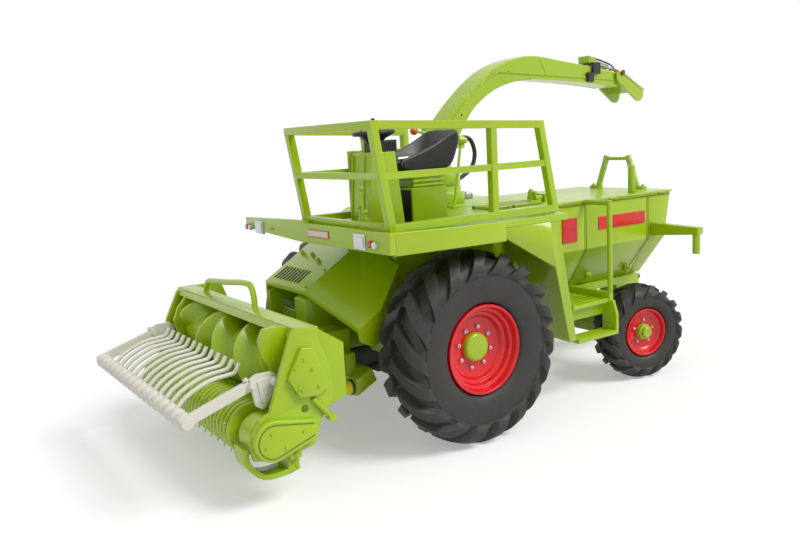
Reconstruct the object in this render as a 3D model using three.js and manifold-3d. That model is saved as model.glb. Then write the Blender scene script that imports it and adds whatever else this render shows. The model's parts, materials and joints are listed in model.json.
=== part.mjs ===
// Self-propelled forage harvester, 1:32 die-cast scale model.
// Units are millimetres. +X is forward, +Y is the machine's left, +Z is up.
// Every place below is measured from the datum on the ground under the front axle's middle.
// At the end the whole model is shifted so that its origin is the bottom centre of its box.
import * as THREE from "three";
import { mergeVertices } from "three/addons/utils/BufferGeometryUtils.js";
import Module from "manifold-3d";

const wasm = await Module();
wasm.setup();

// ---------------------------------------------------------------- driving dimensions
const gap = 0.3; // clearance between pieces that fit together
const sheet = 1; // thickness of pressed panels
const bar = 1.9; // section of the railing's bars

const wheelbase = 74;
const frontTyre = { radius: 25, width: 15.4, bead: 12, y: 33 };
const rearTyre = { radius: 14.8, width: 10.2, bead: 7.8, y: 27.5 };
const rimShare = 0.43; // half the rim's width as a share of the tyre's width
const steerRest = -12; // degrees that the rear wheels are turned at rest
const kingpinY = 25;

const hood = { half: 20.7, top: 57.5, kink: 42.2, floor: 29.4, floorHalf: 12.4 };
const hoodFront = -28;
const hoodSeam = -57.9;
const hoodRearSeam = -87.4;
const hoodRear = { top: -99.2, kink: -96, floor: -93 };
const lid = 0.8;

const deck = { top: 57.4, thick: 1.8, left: 42, right: -3.4, front: 28 };
const beam = { front: 29.6, left: 42.8, right: -35.8, bottom: 53.2, top: 58.2 };
const rail = { top: 82.4, middle: 70.8, left: 38.8, right: -2.9 };

const tank = { inner: -21.2, outer: -40, bottom: 19, rear: -57.8, top: 57.4 };
const ladder = { outer: 33, rear: -58, tread: 18.6, step: 27.6, inner: 28.6 };

const turret = { x: -32.5, y: -18.4, top: 67, neckTop: 75.4 };
const spoutSwing = 186.5; // degrees from +X that the spout points to at rest
const spoutWidth = { foot: 7.6, end: 9.4, reach: 94 };
const wall = 1;

const header = { half: 38.5, endWall: 31, pivotX: 34.2, pivotZ: 30 };
const auger = { x: 48.4, z: 28.2, tube: 4.6, flight: 8.8 };
const reel = { x: 60, z: 16.8, radius: 6.2, core: 4.2 };
const guard = { x: 56.6, z: 28.4, barX: 76.2, barZ: 23.2 };

// ---------------------------------------------------------------- paint and materials
const paints = {
  green: { color: "#a9c62a", roughness: 0.35, metalness: 0 },
  red: { color: "#d01627", roughness: 0.35, metalness: 0 },
  rubber: { color: "#3a3836", roughness: 0.8, metalness: 0 },
  black: { color: "#1d1c1a", roughness: 0.55, metalness: 0 },
  ivory: { color: "#e8e4d6", roughness: 0.5, metalness: 0 },
  silver: { color: "#b9bab8", roughness: 0.3, metalness: 0.9 },
  yellow: { color: "#f2e21a", roughness: 0.45, metalness: 0 },
};

// ---------------------------------------------------------------- solids
function toSolid(geometry) {
  const bare = geometry.clone();
  bare.deleteAttribute("normal");
  bare.deleteAttribute("uv");
  const merged = mergeVertices(bare, 1e-4);
  return new wasm.Manifold(
    new wasm.Mesh({
      numProp: 3,
      vertProperties: merged.attributes.position.array,
      triVerts: new Uint32Array(merged.index.array),
    }),
  );
}

function toGeometry(solid) {
  const m = solid.getMesh();
  const points = new Float32Array(m.numVert * 3);
  for (let i = 0; i < m.numVert; i++)
    points.set(m.vertProperties.subarray(i * m.numProp, i * m.numProp + 3), i * 3);
  const g = new THREE.BufferGeometry();
  g.setAttribute("position", new THREE.BufferAttribute(points, 3));
  g.setIndex(new THREE.BufferAttribute(new Uint32Array(m.triVerts), 1));
  g.computeVertexNormals();
  return g;
}

const join = (...parts) => parts.reduce((all, part) => all.add(part));

// A block between two opposite corners.
function block(x0, x1, y0, y1, z0, z1) {
  const g = new THREE.BoxGeometry(x1 - x0, y1 - y0, z1 - z0);
  return toSolid(g.translate((x0 + x1) / 2, (y0 + y1) / 2, (z0 + z1) / 2));
}

function outline(points) {
  return new THREE.Shape(points.map(([a, b]) => new THREE.Vector2(a, b)));
}

function extrude(shape, depth, curveSegments = 12) {
  return new THREE.ExtrudeGeometry(shape, { depth, bevelEnabled: false, curveSegments });
}

// An outline in X and Z, extruded across the machine from y0 to y1.
function acrossY(points, y0, y1) {
  const shape = Array.isArray(points) ? outline(points) : points;
  return toSolid(extrude(shape, y1 - y0).rotateX(Math.PI / 2).translate(0, y1, 0));
}

// An outline in Y and Z, extruded along the machine from x0 to x1.
function alongX(points, x0, x1) {
  const shape = Array.isArray(points) ? outline(points) : points;
  const g = extrude(shape, x1 - x0);
  const axes = new THREE.Matrix4().set(0, 0, 1, x0, 1, 0, 0, 0, 0, 1, 0, 0, 0, 0, 0, 1);
  return toSolid(g.applyMatrix4(axes));
}

// A round rod between two points.
function rod(from, to, radius, sides = 16) {
  const a = new THREE.Vector3(...from);
  const b = new THREE.Vector3(...to);
  const g = new THREE.CylinderGeometry(radius, radius, a.distanceTo(b), sides);
  const turn = new THREE.Quaternion().setFromUnitVectors(
    new THREE.Vector3(0, 1, 0),
    b.clone().sub(a).normalize(),
  );
  g.applyQuaternion(turn);
  const middle = a.add(b).multiplyScalar(0.5);
  return toSolid(g.translate(middle.x, middle.y, middle.z));
}

// A square bar between two points, with its sides kept upright.
function squareBar(from, to, width, height = width) {
  const a = new THREE.Vector3(...from);
  const b = new THREE.Vector3(...to);
  const along = b.clone().sub(a);
  const g = new THREE.BoxGeometry(along.length(), width, height);
  const x = along.clone().normalize();
  const up = Math.abs(x.z) > 0.9 ? new THREE.Vector3(1, 0, 0) : new THREE.Vector3(0, 0, 1);
  const y = up.clone().cross(x).normalize();
  const z = x.clone().cross(y);
  g.applyMatrix4(new THREE.Matrix4().makeBasis(x, y, z));
  const middle = a.add(b).multiplyScalar(0.5);
  return toSolid(g.translate(middle.x, middle.y, middle.z));
}

// A round tube's solid that follows a smooth curve through its points.
function bentRod(points, radius, steps = 32, sides = 10) {
  const curve = new THREE.CatmullRomCurve3(points.map((p) => new THREE.Vector3(...p)));
  const section = new THREE.Shape();
  section.absarc(0, 0, radius, 0, 2 * Math.PI);
  return toSolid(
    new THREE.ExtrudeGeometry(section, {
      extrudePath: curve,
      steps,
      curveSegments: Math.ceil(sides / 2),
      bevelEnabled: false,
    }),
  );
}

// A solid of revolution about Y from a closed profile of [radius, y] points.
function turned(profile, segments = 36) {
  const points = profile.map(([r, y]) => new THREE.Vector2(r, y));
  if (THREE.ShapeUtils.isClockWise(points)) points.reverse();
  return toSolid(new THREE.LatheGeometry([...points, points[0]], segments));
}

// A sheet between an outer face, with its corners counterclockwise from outside, and its shifted copy.
function slab(outer, shift) {
  const n = outer.length;
  const inner = outer.map((point) => point.map((value, axis) => value + shift[axis]));
  const faces = [];
  for (let i = 1; i < n - 1; i++) faces.push(0, i + 1, i, n, n + i, n + i + 1);
  for (let i = 0; i < n; i++) {
    const j = (i + 1) % n;
    faces.push(i, j, n + j, i, n + j, n + i);
  }
  const g = new THREE.BufferGeometry();
  g.setAttribute("position", new THREE.Float32BufferAttribute([...inner, ...outer].flat(), 3));
  g.setIndex(faces);
  return toSolid(g);
}

// A solid between an outline at one height and a matching outline at a lower height.
function wedge(top, topZ, foot, footZ) {
  const n = top.length;
  const points = [...foot.map(([x, y]) => [x, y, footZ]), ...top.map(([x, y]) => [x, y, topZ])];
  const faces = [];
  for (let i = 1; i < n - 1; i++) faces.push(0, i + 1, i, n, n + i, n + i + 1);
  for (let i = 0; i < n; i++) {
    const j = (i + 1) % n;
    faces.push(i, j, n + j, i, n + j, n + i);
  }
  const g = new THREE.BufferGeometry();
  g.setAttribute("position", new THREE.Float32BufferAttribute(points.flat(), 3));
  g.setIndex(faces);
  return toSolid(g);
}

// A screw about the Y axis. Each station is [y, turns, radius of the flight's edge].
function screw(tube, stations) {
  const fin = 0.07; // share of a turn that the flight's thickness takes
  const shares = [0, 0.012, fin - 0.012, fin];
  for (let i = 1; i < 11; i++) shares.push(fin + ((1 - fin) * i) / 11);
  const n = shares.length;
  const points = [];
  for (const [y, turns, edge] of stations)
    shares.forEach((share, k) => {
      const r = k === 1 || k === 2 ? edge : tube;
      const a = 2 * Math.PI * (share + turns);
      points.push(r * Math.cos(a), y, r * Math.sin(a));
    });
  const last = stations.length - 1;
  const faces = [];
  for (let j = 0; j < last; j++)
    for (let k = 0; k < n; k++) {
      const a = n * j + k;
      const b = n * j + ((k + 1) % n);
      faces.push(a, a + n, b, b, a + n, b + n);
    }
  const [c0, c1] = [n * (last + 1), n * (last + 1) + 1];
  points.push(0, stations[0][0], 0, 0, stations[last][0], 0);
  for (let k = 0; k < n; k++) {
    const next = (k + 1) % n;
    faces.push(c0, k, next, c1, n * last + next, n * last + k);
  }
  const g = new THREE.BufferGeometry();
  g.setAttribute("position", new THREE.Float32BufferAttribute(points, 3));
  g.setIndex(faces);
  return toSolid(g);
}

// A strip of sheet that follows points in X and Z, for acrossY.
function strip(points, thick) {
  const line = points.map(([x, z]) => new THREE.Vector2(x, z));
  const side = (sign) => line.map((p, i) => {
    const before = line[Math.max(i - 1, 0)];
    const after = line[Math.min(i + 1, line.length - 1)];
    const along = after.clone().sub(before).normalize();
    return [p.x - (sign * along.y * thick) / 2, p.y + (sign * along.x * thick) / 2];
  });
  return [...side(-1), ...side(1).reverse()];
}

// A drum about the Y axis through (x, z).
const drum = (x, z, radius, y0, y1, sides = 32) => rod([x, y0, z], [x, y1, z], radius, sides);

// ---------------------------------------------------------------- scene graph
const model = new THREE.Group();

function pivot(parent, x, y, z) {
  const g = new THREE.Group();
  g.position.set(x, y, z);
  parent.add(g);
  return g;
}

function piece(name, paint, solid, parent = model) {
  const m = new THREE.Mesh(toGeometry(solid), new THREE.MeshStandardMaterial(paints[paint]));
  m.name = name;
  parent.add(m);
  return m;
}

// ---------------------------------------------------------------- wheels
// A tyre's section: beads, bulged walls, rounded shoulders and a flat tread.
function tyreSolid({ radius, width, bead }) {
  const half = width / 2;
  const height = radius - bead;
  const side = [
    [bead, 0.84],
    [bead + 0.35 * height, 1],
    [bead + 0.7 * height, 0.92],
    [bead + 0.9 * height, 0.72],
    [radius, 0.4],
  ];
  const outer = side.map(([r, share]) => [r, share * half]);
  const inner = [...side].reverse().map(([r, share]) => [r, -share * half]);
  return turned([...outer, ...inner], 40);
}

// A dished rim: a barrel with a lip, and a disc with a hub boss.
function rimSolid({ width, bead }, disc) {
  const lip = bead - gap;
  const barrel = lip - 1.6;
  const edge = rimShare * width;
  const barrelRing = [
    [barrel, -edge],
    [lip, -edge],
    [lip, edge],
    [lip - 0.9, edge],
    [barrel, edge - 1.6],
  ];
  const y0 = disc.y - disc.thick;
  const plate = rod([0, y0, 0], [0, disc.y, 0], barrel + 0.4, 36);
  const boss = rod([0, y0, 0], [0, disc.y + disc.proud, 0], disc.boss, 24);
  return join(turned(barrelRing), plate, boss);
}

function wheel(names, tyre, disc, parent, side) {
  const group = pivot(parent, 0, 0, 0);
  group.rotation.z = side < 0 ? Math.PI : 0;
  piece(names.rim, "red", rimSolid(tyre, disc), group);
  piece(names.tyre, "rubber", tyreSolid(tyre), group);
  return group;
}

const frontDisc = { y: 1.6, thick: 1.6, boss: 3.9, proud: 1.8 };
const rearDisc = { y: 2.2, thick: 1.4, boss: 2.5, proud: 2.4 };
const sides = [["left", 1], ["right", -1]];
const pivots = {};

for (const [name, side] of sides) {
  const hub = pivot(model, 0, side * frontTyre.y, frontTyre.radius);
  pivots[`front_wheel_${name}`] = hub;
  const names = { rim: `front_rim_${name}`, tyre: `front_tyre_${name}` };
  wheel(names, frontTyre, frontDisc, hub, side);
}

// Knuckle: a kingpin block inside the rim, with the stub that carries the wheel.
for (const [name, side] of sides) {
  const steer = pivot(model, -wheelbase, side * kingpinY, rearTyre.radius);
  steer.rotation.z = THREE.MathUtils.degToRad(steerRest);
  pivots[`rear_knuckle_${name}`] = steer;
  const discFace = rearTyre.y - kingpinY + rearDisc.y - rearDisc.thick - gap;
  const arm = side > 0 ? [0.4, discFace] : [-discFace, -0.4];
  piece(
    `rear_knuckle_${name}`,
    "green",
    join(
      rod([0, 0, -4.4], [0, 0, 4.4], 1.5),
      rod([0, arm[0], 0], [0, arm[1], 0], 1.5),
    ),
    steer,
  );
  const hub = pivot(steer, 0, side * (rearTyre.y - kingpinY), 0);
  pivots[`rear_wheel_${name}`] = hub;
  const names = { rim: `rear_rim_${name}`, tyre: `rear_tyre_${name}` };
  wheel(names, rearTyre, rearDisc, hub, side);
}

// ---------------------------------------------------------------- chassis and axles
const frameRail = { inner: 10.6, outer: 14, bottom: 26.9, top: 29.3, rear: -91, front: 6 };

function chassisFrame() {
  const f = frameRail;
  const rails = [1, -1].map((s) =>
    block(f.rear, f.front, Math.min(s * f.inner, s * f.outer), Math.max(s * f.inner, s * f.outer),
      f.bottom, f.top));
  const cross = [-89, -wheelbase, -45, -14].map((x) =>
    block(x - 2, x + 2, -f.inner - 1, f.inner + 1, f.bottom, f.top));
  const rearSaddle = [-1, 1].map((s) =>
    block(-wheelbase + s * 5 - 1.2, -wheelbase + s * 5 + 1.2, -4.5, 4.5, 14, f.bottom + 1));
  const rearBeam = block(-wheelbase - 6.2, -wheelbase + 6.2, -4.5, 4.5, f.bottom - 2, f.top);
  return join(...rails, ...cross, ...rearSaddle, rearBeam);
}

// The front axle's beam reaches both rims, with the gear housing in its middle.
function frontAxle() {
  const z = frontTyre.radius;
  const face = frontTyre.y + frontDisc.y - frontDisc.thick - gap;
  return join(
    block(-4.5, 4.5, -19, 19, z - 4, frameRail.bottom - 0.001),
    block(-7, 5, -8, 8, z - 8, frameRail.bottom - 0.001),
    drum(0, z, 6.4, -21.5, -17),
    drum(0, z, 6.4, 17, 21.5),
    drum(0, z, 3.6, -face, -18),
    drum(0, z, 3.6, 18, face),
  );
}

function rearAxle() {
  const z = rearTyre.radius;
  const x = -wheelbase;
  const jaw = kingpinY - 2.6;
  const eyes = [1, -1].flatMap((s) => [2.6, -2.6].map((dz) =>
    rod([x, s * kingpinY, z + dz - 0.7], [x, s * kingpinY, z + dz + 0.7], 2.6)));
  const arms = [1, -1].flatMap((s) => [2.6, -2.6].map((dz) =>
    block(x - 2, x + 2, Math.min(s * (jaw - 1), s * kingpinY), Math.max(s * (jaw - 1), s * kingpinY),
      z + dz - 0.7, z + dz + 0.7)));
  const holes = [1, -1].map((s) =>
    rod([x, s * kingpinY, z - 8], [x, s * kingpinY, z + 8], 1.5 + gap));
  const beam = block(x - 2, x + 2, -jaw, jaw, z - 3.3, z + 3.3);
  const pin = rod([x - 3.4, 0, z], [x + 3.4, 0, z], 2.4);
  return holes.reduce((all, hole) => all.subtract(hole), join(beam, pin, ...eyes, ...arms));
}

piece("chassis_frame", "green", chassisFrame());
piece("front_axle", "green", frontAxle());
piece("rear_axle", "green", rearAxle());

// Towing hitch: a plate under the hood's rear end with an upper and a lower jaw.
piece("rear_hitch", "green", join(
  acrossY([[-91.3, 29.2], [-98.4, 29.2], [-99.4, 22], [-97.6, 14.4], [-93.4, 14.4], [-91.3, 20]],
    -4, 4),
  block(-104.6, -97, -3, 3, 22.2, 24),
  block(-104.6, -97, -3, 3, 16, 17.8),
));

// ---------------------------------------------------------------- engine hood
// The hood's cross-section: upright sides, tucked in below the kink.
const hoodSection = [
  [hood.half, hood.top - lid],
  [-hood.half, hood.top - lid],
  [-hood.half, hood.kink],
  [-hood.floorHalf, hood.floor],
  [hood.floorHalf, hood.floor],
  [hood.half, hood.kink],
];
// Its rear end leans forward towards the bottom.
const rearCut = acrossY(
  [
    [hoodRear.top - 40, hood.top + 1],
    [hoodRear.top, hood.top + 1],
    [hoodRear.kink, hood.kink],
    [hoodRear.floor, hood.floor],
    [hoodRear.floor, hood.floor - 1],
    [hoodRear.top - 40, hood.floor - 1],
  ],
  -hood.half - 1,
  hood.half + 1,
);
const grille = { half: 10.5, bottom: 30.7, ledge: 42, top: 53, back: -94, out: -98 };
const grilleRecess = block(
  hoodRear.top - 1, grille.back, -grille.half, grille.half, grille.bottom, grille.top,
);
piece("hood_front", "green", alongX(hoodSection, hoodSeam, hoodFront));
piece("hood_middle", "green", alongX(hoodSection, hoodRearSeam, hoodSeam));
piece("hood_rear", "green",
  alongX(hoodSection, hoodRear.top - 1, hoodRearSeam).subtract(rearCut).subtract(grilleRecess));
piece("hood_lid", "green",
  block(hoodRear.top - 0.4, hoodFront, -hood.half - 0.2, hood.half + 0.2, hood.top - lid, hood.top));
const screenHalf = grille.half - gap;
piece("radiator_screen", "black", join(
  block(grille.out, grille.back - gap, -screenHalf, screenHalf, grille.bottom + gap, grille.ledge),
  block(
    grille.back - gap - 1.5, grille.back - gap, -screenHalf, screenHalf,
    grille.ledge - 1, grille.top - gap,
  ),
));

// A-frame that cradles the spout for transport.
const rest = { x: -97, foot: 8.7, top: 4.6, height: 69 };
piece("spout_rest", "green", join(
  ...[1, -1].map((s) => squareBar([rest.x, s * rest.foot, hood.top + 0.4],
    [rest.x, s * rest.top, rest.height], 1.8, 1.2)),
  ...[1, -1].map((s) => block(rest.x - 1.2, rest.x + 1.2,
    Math.min(s * (rest.foot - 1), s * (rest.foot + 3)), Math.max(s * (rest.foot - 1), s * (rest.foot + 3)),
    hood.top, hood.top + 1)),
  rod([rest.x, -rest.top - 0.4, rest.height - 1], [rest.x, rest.top + 0.4, rest.height - 1], 0.6),
));
piece("exhaust_pipe", "green", rod([-84.5, 16.5, hood.top], [-84.5, 16.5, 66.4], 1.2));
piece("breather_pipe", "green", rod([-75, -12.5, hood.top], [-75, -12.5, 66.6], 0.8));

// Arms that carry the rear lamps out beside the hood.
const lampArm = { x0: -91.4, x1: -88.6, end: 38.6, root: [43, 47.2], tip: [44.4, 46.6] };
for (const [name, side] of sides) {
  const a = hood.half;
  const face = [
    [side * a, lampArm.root[0]],
    [side * lampArm.end, lampArm.tip[0]],
    [side * lampArm.end, lampArm.tip[1]],
    [side * a, lampArm.root[1]],
  ];
  const arm = alongX(side > 0 ? face : face.reverse(), lampArm.x0, lampArm.x1);
  const y = side * (lampArm.end - 1.4);
  const leg = rod([(lampArm.x0 + lampArm.x1) / 2, y, 38.2], [(lampArm.x0 + lampArm.x1) / 2, y, 45], 1.2);
  piece(`lamp_arm_${name}`, "green", join(arm, leg));
}

// ---------------------------------------------------------------- right side: fuel tank
const tankFace = [
  [tank.rear, tank.bottom],
  [-29.9, tank.bottom],
  [-28, 30.7],
  [-25.8, 42.2],
  [-16, 48.4],
  [-6.1, 51.5],
  [-2.2, 54.1],
  [-8.8, tank.top],
  [tank.rear, tank.top],
];
piece("fuel_tank", "green", acrossY(tankFace, tank.outer, tank.inner));
piece("filler_cap", "silver", rod([-48.5, -25.5, tank.top], [-48.5, -25.5, tank.top + 1.8], 2.2, 24));

// ---------------------------------------------------------------- left side: fender, ladder
const deckFloor = deck.top - deck.thick;

// The column at the fender's rear leans back and inwards down to the lower tread,
// and the skin folds from the deck's edge in to the column's front edge.
function leftFender() {
  const column = { topFront: -20.2, topRear: -24.4, footFront: -37.1, footRear: -39.8, innerBack: 2.2 };
  const skin = slab(
    [
      [-5.6, deck.left, beam.bottom],
      [-27.4, 38.5, 42],
      [column.topFront - 1.2, deck.left, deckFloor],
      [-5.6, deck.left, deckFloor],
    ],
    [0, -sheet, 0],
  );
  const inner = hood.half + 0.4;
  const outer = deck.left - 0.1;
  const { topFront, topRear, footFront, footRear, innerBack } = column;
  const top = [[topRear, outer], [topRear - 0.4, inner], [topFront - innerBack, inner], [topFront, outer]];
  const foot = [
    [footRear, ladder.outer], [footRear - 0.6, inner], [footFront - 1.2, inner], [footFront, ladder.outer],
  ];
  return join(skin, wedge(top, deckFloor, foot, ladder.tread));
}
piece("left_fender", "green", leftFender());

function ladderSteps() {
  const front = -40.8;
  const back = ladder.rear;
  const plateFace = [
    [ladder.inner - 1, ladder.tread - 1.2],
    [ladder.outer, ladder.tread - 1.2],
    [ladder.outer, ladder.step - 4],
    [ladder.outer - 1.4, ladder.step],
    [ladder.inner - 1, ladder.step],
  ];
  const slats = [0, 1, 2, 3, 4, 5, 6].map((i) => {
    const y = frameRail.outer + 1.2 + i * 2.4;
    return block(back + 0.5, front, y, y + 1.1, ladder.step - 0.6, ladder.step + 0.6);
  });
  return join(
    block(back, front, ladder.inner - 1, ladder.outer, ladder.tread - 1.2, ladder.tread),
    alongX(plateFace, back, back + sheet),
    block(back, front, ladder.inner - 1, ladder.inner, ladder.step - 4.4, ladder.step),
    block(back, back + 1.6, frameRail.outer, ladder.outer - 2, ladder.step - 0.8, ladder.step + 2.4),
    block(front - 1, front, frameRail.outer, ladder.outer - 2, ladder.step - 0.8, ladder.step + 0.8),
    ...slats,
  );
}
piece("ladder_steps", "green", ladderSteps());

const grab = { x: ladder.rear + 0.8, z: 57.2, y: 30.6 };
piece("grab_rail", "green", join(
  rod([grab.x, grab.y, ladder.step + 2.4], [grab.x, grab.y, grab.z + 0.5], 0.8),
  rod([grab.x, hood.half + 0.4 + gap, grab.z - 0.3], [grab.x, grab.y, grab.z - 0.3], 0.8),
));

// ---------------------------------------------------------------- operator's platform
const housing = { rear: hoodFront, front: 11, half: 17, top: 52 };
piece("cutter_housing", "green", join(
  block(housing.rear, housing.front, -housing.half, housing.half, frameRail.top + 0.1, housing.top),
  block(housing.rear, housing.front, 0, housing.half, housing.top - 1, deckFloor),
  block(housing.rear, housing.rear + 20, -hood.half, housing.half, housing.top - 12, housing.top),
));
piece("platform_deck", "green", join(
  block(hoodFront, deck.front, deck.right, deck.left, deckFloor, deck.top),
  block(-20, deck.front, 20, 22, deckFloor - 2, deckFloor + 0.1),
));
piece("platform_skirt", "green", acrossY(
  [
    [-5.4, 52.4],
    [deck.front, beam.bottom - 0.4],
    [deck.front, beam.top],
    [-5.4, beam.top - 0.8],
  ],
  deck.left,
  beam.left,
));

// The front beam: its right part tapers towards its end.
piece("front_beam", "green", join(
  block(deck.front, beam.front, 2, beam.left, beam.bottom, beam.top),
  alongX(
    [
      [beam.right, beam.bottom + 1.6],
      [2.1, beam.bottom - 0.2],
      [2.1, beam.top + 0.8],
      [beam.right, beam.top - 0.2],
    ],
    deck.front,
    beam.front,
  ),
));

function railing() {
  const foot = deck.top + gap;
  const post = (x0, y, x1, top) => squareBar([x0, y, foot], [x1, y, top], bar);
  const low = deck.top + 1 + bar / 2 - 0.6;
  const L = rail.left;
  const R = rail.right + 1;
  const rear = rail.top - 1.6;
  const mid = rail.middle;
  const bars = [
    post(26.2, R, 30, rail.top),
    post(26.2, L, 30, rail.top),
    post(-5, L, -5, rear + 0.4),
    post(-26, L, -21.2, rear),
    post(-7, R, -7, rear),
    squareBar([30, R, rail.top], [30, L, rail.top], bar),
    squareBar([28.3, R, mid], [28.3, L, mid], bar * 0.85),
    squareBar([26.4, R, low], [26.4, L, low], bar),
    squareBar([30, L, rail.top], [-21.2, L, rear], bar),
    squareBar([28.3, L, mid], [-23, L, mid], bar * 0.85),
    squareBar([26.4, L, low], [-25.6, L, low], bar),
    squareBar([30, R, rail.top], [-7, R, rear], bar),
    squareBar([28.3, R, mid], [-7, R, mid], bar * 0.85),
    squareBar([26.4, R, low], [-7, R, low], bar),
  ];
  const corners = [[30, R, rail.top], [30, L, rail.top], [-21.2, L, rear], [-7, R, rear]];
  return join(...bars, ...corners.map(([x, y, z]) =>
    block(x - bar / 2, x + bar / 2, y - bar / 2, y + bar / 2, z - bar / 2, z + bar / 2)));
}
piece("platform_railing", "green", railing());

piece("console_guard", "green", acrossY(
  [
    [-5, 66],
    [6, deck.top],
    [13.4, deck.top],
    [13.4, 76.4],
    [-5, 76.4],
  ],
  -0.7,
  0.3,
));
piece("lever_console", "green", join(
  block(3, 13, 0.3, 5.4, deck.top, 75),
  rod([6, 3, 74], [6, 3, 79.4], 0.5),
  rod([10, 3, 74], [10.5, 3, 80.4], 0.5),
));
piece("steering_console", "green", join(
  acrossY([[12, deck.top], [22.6, deck.top], [21, 76], [14, 76]], 15, 24),
  rod([16.4, 19.6, 75], [17.2, 19.6, 79.7], 1.2),
));
const steering = { x: 17.3, y: 19.6, z: 80.9, radius: 4.9, tilt: 2 };
function steeringWheel() {
  const ring = toSolid(new THREE.TorusGeometry(steering.radius, 0.6, 8, 32));
  const spokes = [0, 1, 2].map((i) => {
    const a = (2 * Math.PI * i) / 3;
    return rod([0, 0, 0], [steering.radius * Math.cos(a), steering.radius * Math.sin(a), 0], 0.45, 8);
  });
  const hub = rod([0, 0, -0.9], [0, 0, 0.7], 1.3);
  return join(ring, hub, ...spokes)
    .rotate([0, steering.tilt, 0])
    .translate([steering.x, steering.y, steering.z]);
}
piece("steering_wheel", "black", steeringWheel());
piece("seat_base", "green", join(
  block(-1, 10, 12, 25, deck.top, 66.4),
  block(0, 7.4, 14, 22, 66, 69.7),
));
function seat() {
  const shell = [
    [12.4, 73.2], [12.8, 71.6], [11.4, 70], [-3.2, 70], [-4.6, 71], [-7.6, 80], [-7, 81], [-5.4, 81],
    [-2.6, 74.6], [-1, 73.2], [8, 72.8],
  ];
  const sideFace = [
    [10.6, 70], [-3.2, 70], [-4.6, 71], [-7.4, 79.4], [-6, 80.8], [-3, 80.4], [3, 76.4], [10, 74.4],
    [12, 73],
  ];
  return join(
    acrossY(shell, 11.5, 24.5),
    acrossY(sideFace, 11.5, 12.9),
    acrossY(sideFace, 23.1, 24.5),
  );
}
piece("seat", "black", seat());

// ---------------------------------------------------------------- spout
const ring = { flange: 7.4, flangeTop: 61, collar: 6.4, collarTop: 63, disc: 6.2, neck: 3.4 };
const headPlate = { bottom: 75, top: 76.4, front: -5.6, rear: 6.2, half: 5.4, lug: -9.6 };
piece("turret_base", "green", join(
  rod([turret.x, turret.y, hood.top], [turret.x, turret.y, ring.flangeTop], ring.flange, 40),
  rod([turret.x, turret.y, ring.flangeTop - 1], [turret.x, turret.y, ring.collarTop], ring.collar, 40),
));
const spoutZ = ring.collarTop + gap;
const swivel = pivot(model, turret.x, turret.y, spoutZ);
swivel.rotation.z = THREE.MathUtils.degToRad(spoutSwing);
pivots.turret = swivel;
function turretSolid() {
  const { bottom, top, front, rear, half, lug } = headPlate;
  return join(
    rod([0, 0, 0], [0, 0, turret.top - spoutZ], ring.disc, 40),
    rod([0, 0, 0], [0, 0, turret.neckTop - spoutZ], ring.neck, 32),
    block(front, rear, -half, half, bottom - spoutZ, top - spoutZ),
    block(lug, front + 1, -1, 1, bottom - spoutZ, top - spoutZ),
  );
}
piece("turret", "green", turretSolid(), swivel);

// The duct's outer and inner lines, as reach from the swivel axis and height above the ground.
const tilt = { u: -6.8, z: 77 };
const outerLine = [
  [-5.4, 77.2], [-4, 79.6], [0.4, 84.3], [8, 91], [17.8, 98], [28.4, 102.7], [42.6, 105.3],
  [61, 103.8], [78.8, 102.1], [94, 100.2],
];
const innerLine = [
  [94, 94.6], [76.7, 96], [59, 96.9], [43.4, 97.2], [33, 96.2], [23.4, 93.6], [13.6, 88], [7, 80.6],
  [5, 77.2],
];
function smooth(points, n) {
  const curve = new THREE.SplineCurve(points.map(([a, b]) => new THREE.Vector2(a, b)));
  return curve.getPoints(n).map((p) => [p.x, p.y]);
}
const lift = pivot(swivel, tilt.u, 0, tilt.z - spoutZ);
pivots.spout = lift;
const inLift = (solid) => solid.translate([-tilt.u, 0, -tilt.z]);
// The duct widens evenly from its foot to its end.
function widening(points) {
  const g = extrude(outline(points), 1).rotateX(Math.PI / 2).translate(0, 0.5, 0);
  const p = g.attributes.position;
  for (let i = 0; i < p.count; i++) {
    const share = p.getX(i) / spoutWidth.reach;
    p.setY(i, p.getY(i) * THREE.MathUtils.lerp(spoutWidth.foot, spoutWidth.end, share));
  }
  return toSolid(g);
}

function spoutDuct() {
  const half = spoutWidth.end / 2;
  const body = widening([...smooth(outerLine, 30), ...smooth(innerLine, 26)]);
  const mouth = acrossY([[95, 93], [84, 94], [84, 100.4], [95, 99]], -half + wall, half - wall);
  const bracket = acrossY([[-6.6, 77.2], [-2, 77.2], [-1.2, 82], [-4.4, 84.4], [-6.6, 84.4]], -1.2, 1.2);
  const lugs = join(block(78.4, 80.2, -2.4, 2.4, 101, 106.4), block(80, 83, -2.4, -1.6, 101, 106),
    block(80, 83, 1.6, 2.4, 101, 106));
  return inLift(join(body.subtract(mouth), bracket, lugs));
}
piece("spout_duct", "green", spoutDuct(), lift);
const flapPin = { u: 95.2, z: 100 };
const flapPivot = pivot(lift, flapPin.u - tilt.u, 0, flapPin.z - tilt.z);
pivots.spout_flap = flapPivot;
function spoutFlap() {
  const half = spoutWidth.end / 2 + gap + wall;
  const top = acrossY([[0.2, 0.4], [15.2, -6.4], [14.8, -7.4], [0.2, -0.8]], -half, half);
  const cheek = [[-3.4, 0.6], [0.2, 0.4], [15.2, -6.4], [13.6, -10.4], [10.4, -11], [-3.4, -3]];
  const lug = acrossY([[5.4, -2.6], [9.6, -4.4], [8.4, 0.6], [6.8, 0.6]], -0.9, 0.9);
  return join(top, acrossY(cheek, half - wall, half), acrossY(cheek, -half, -half + wall), lug);
}
piece("spout_flap", "green", spoutFlap(), flapPivot);
piece("flap_cylinder", "silver", inLift(join(
  rod([80.6, 0, 105.2], [92.4, 0, 102.9], 1.3),
  rod([91.6, 0, 103.05], [101.4, 0, 101.1], 0.6),
)), lift);
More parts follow.
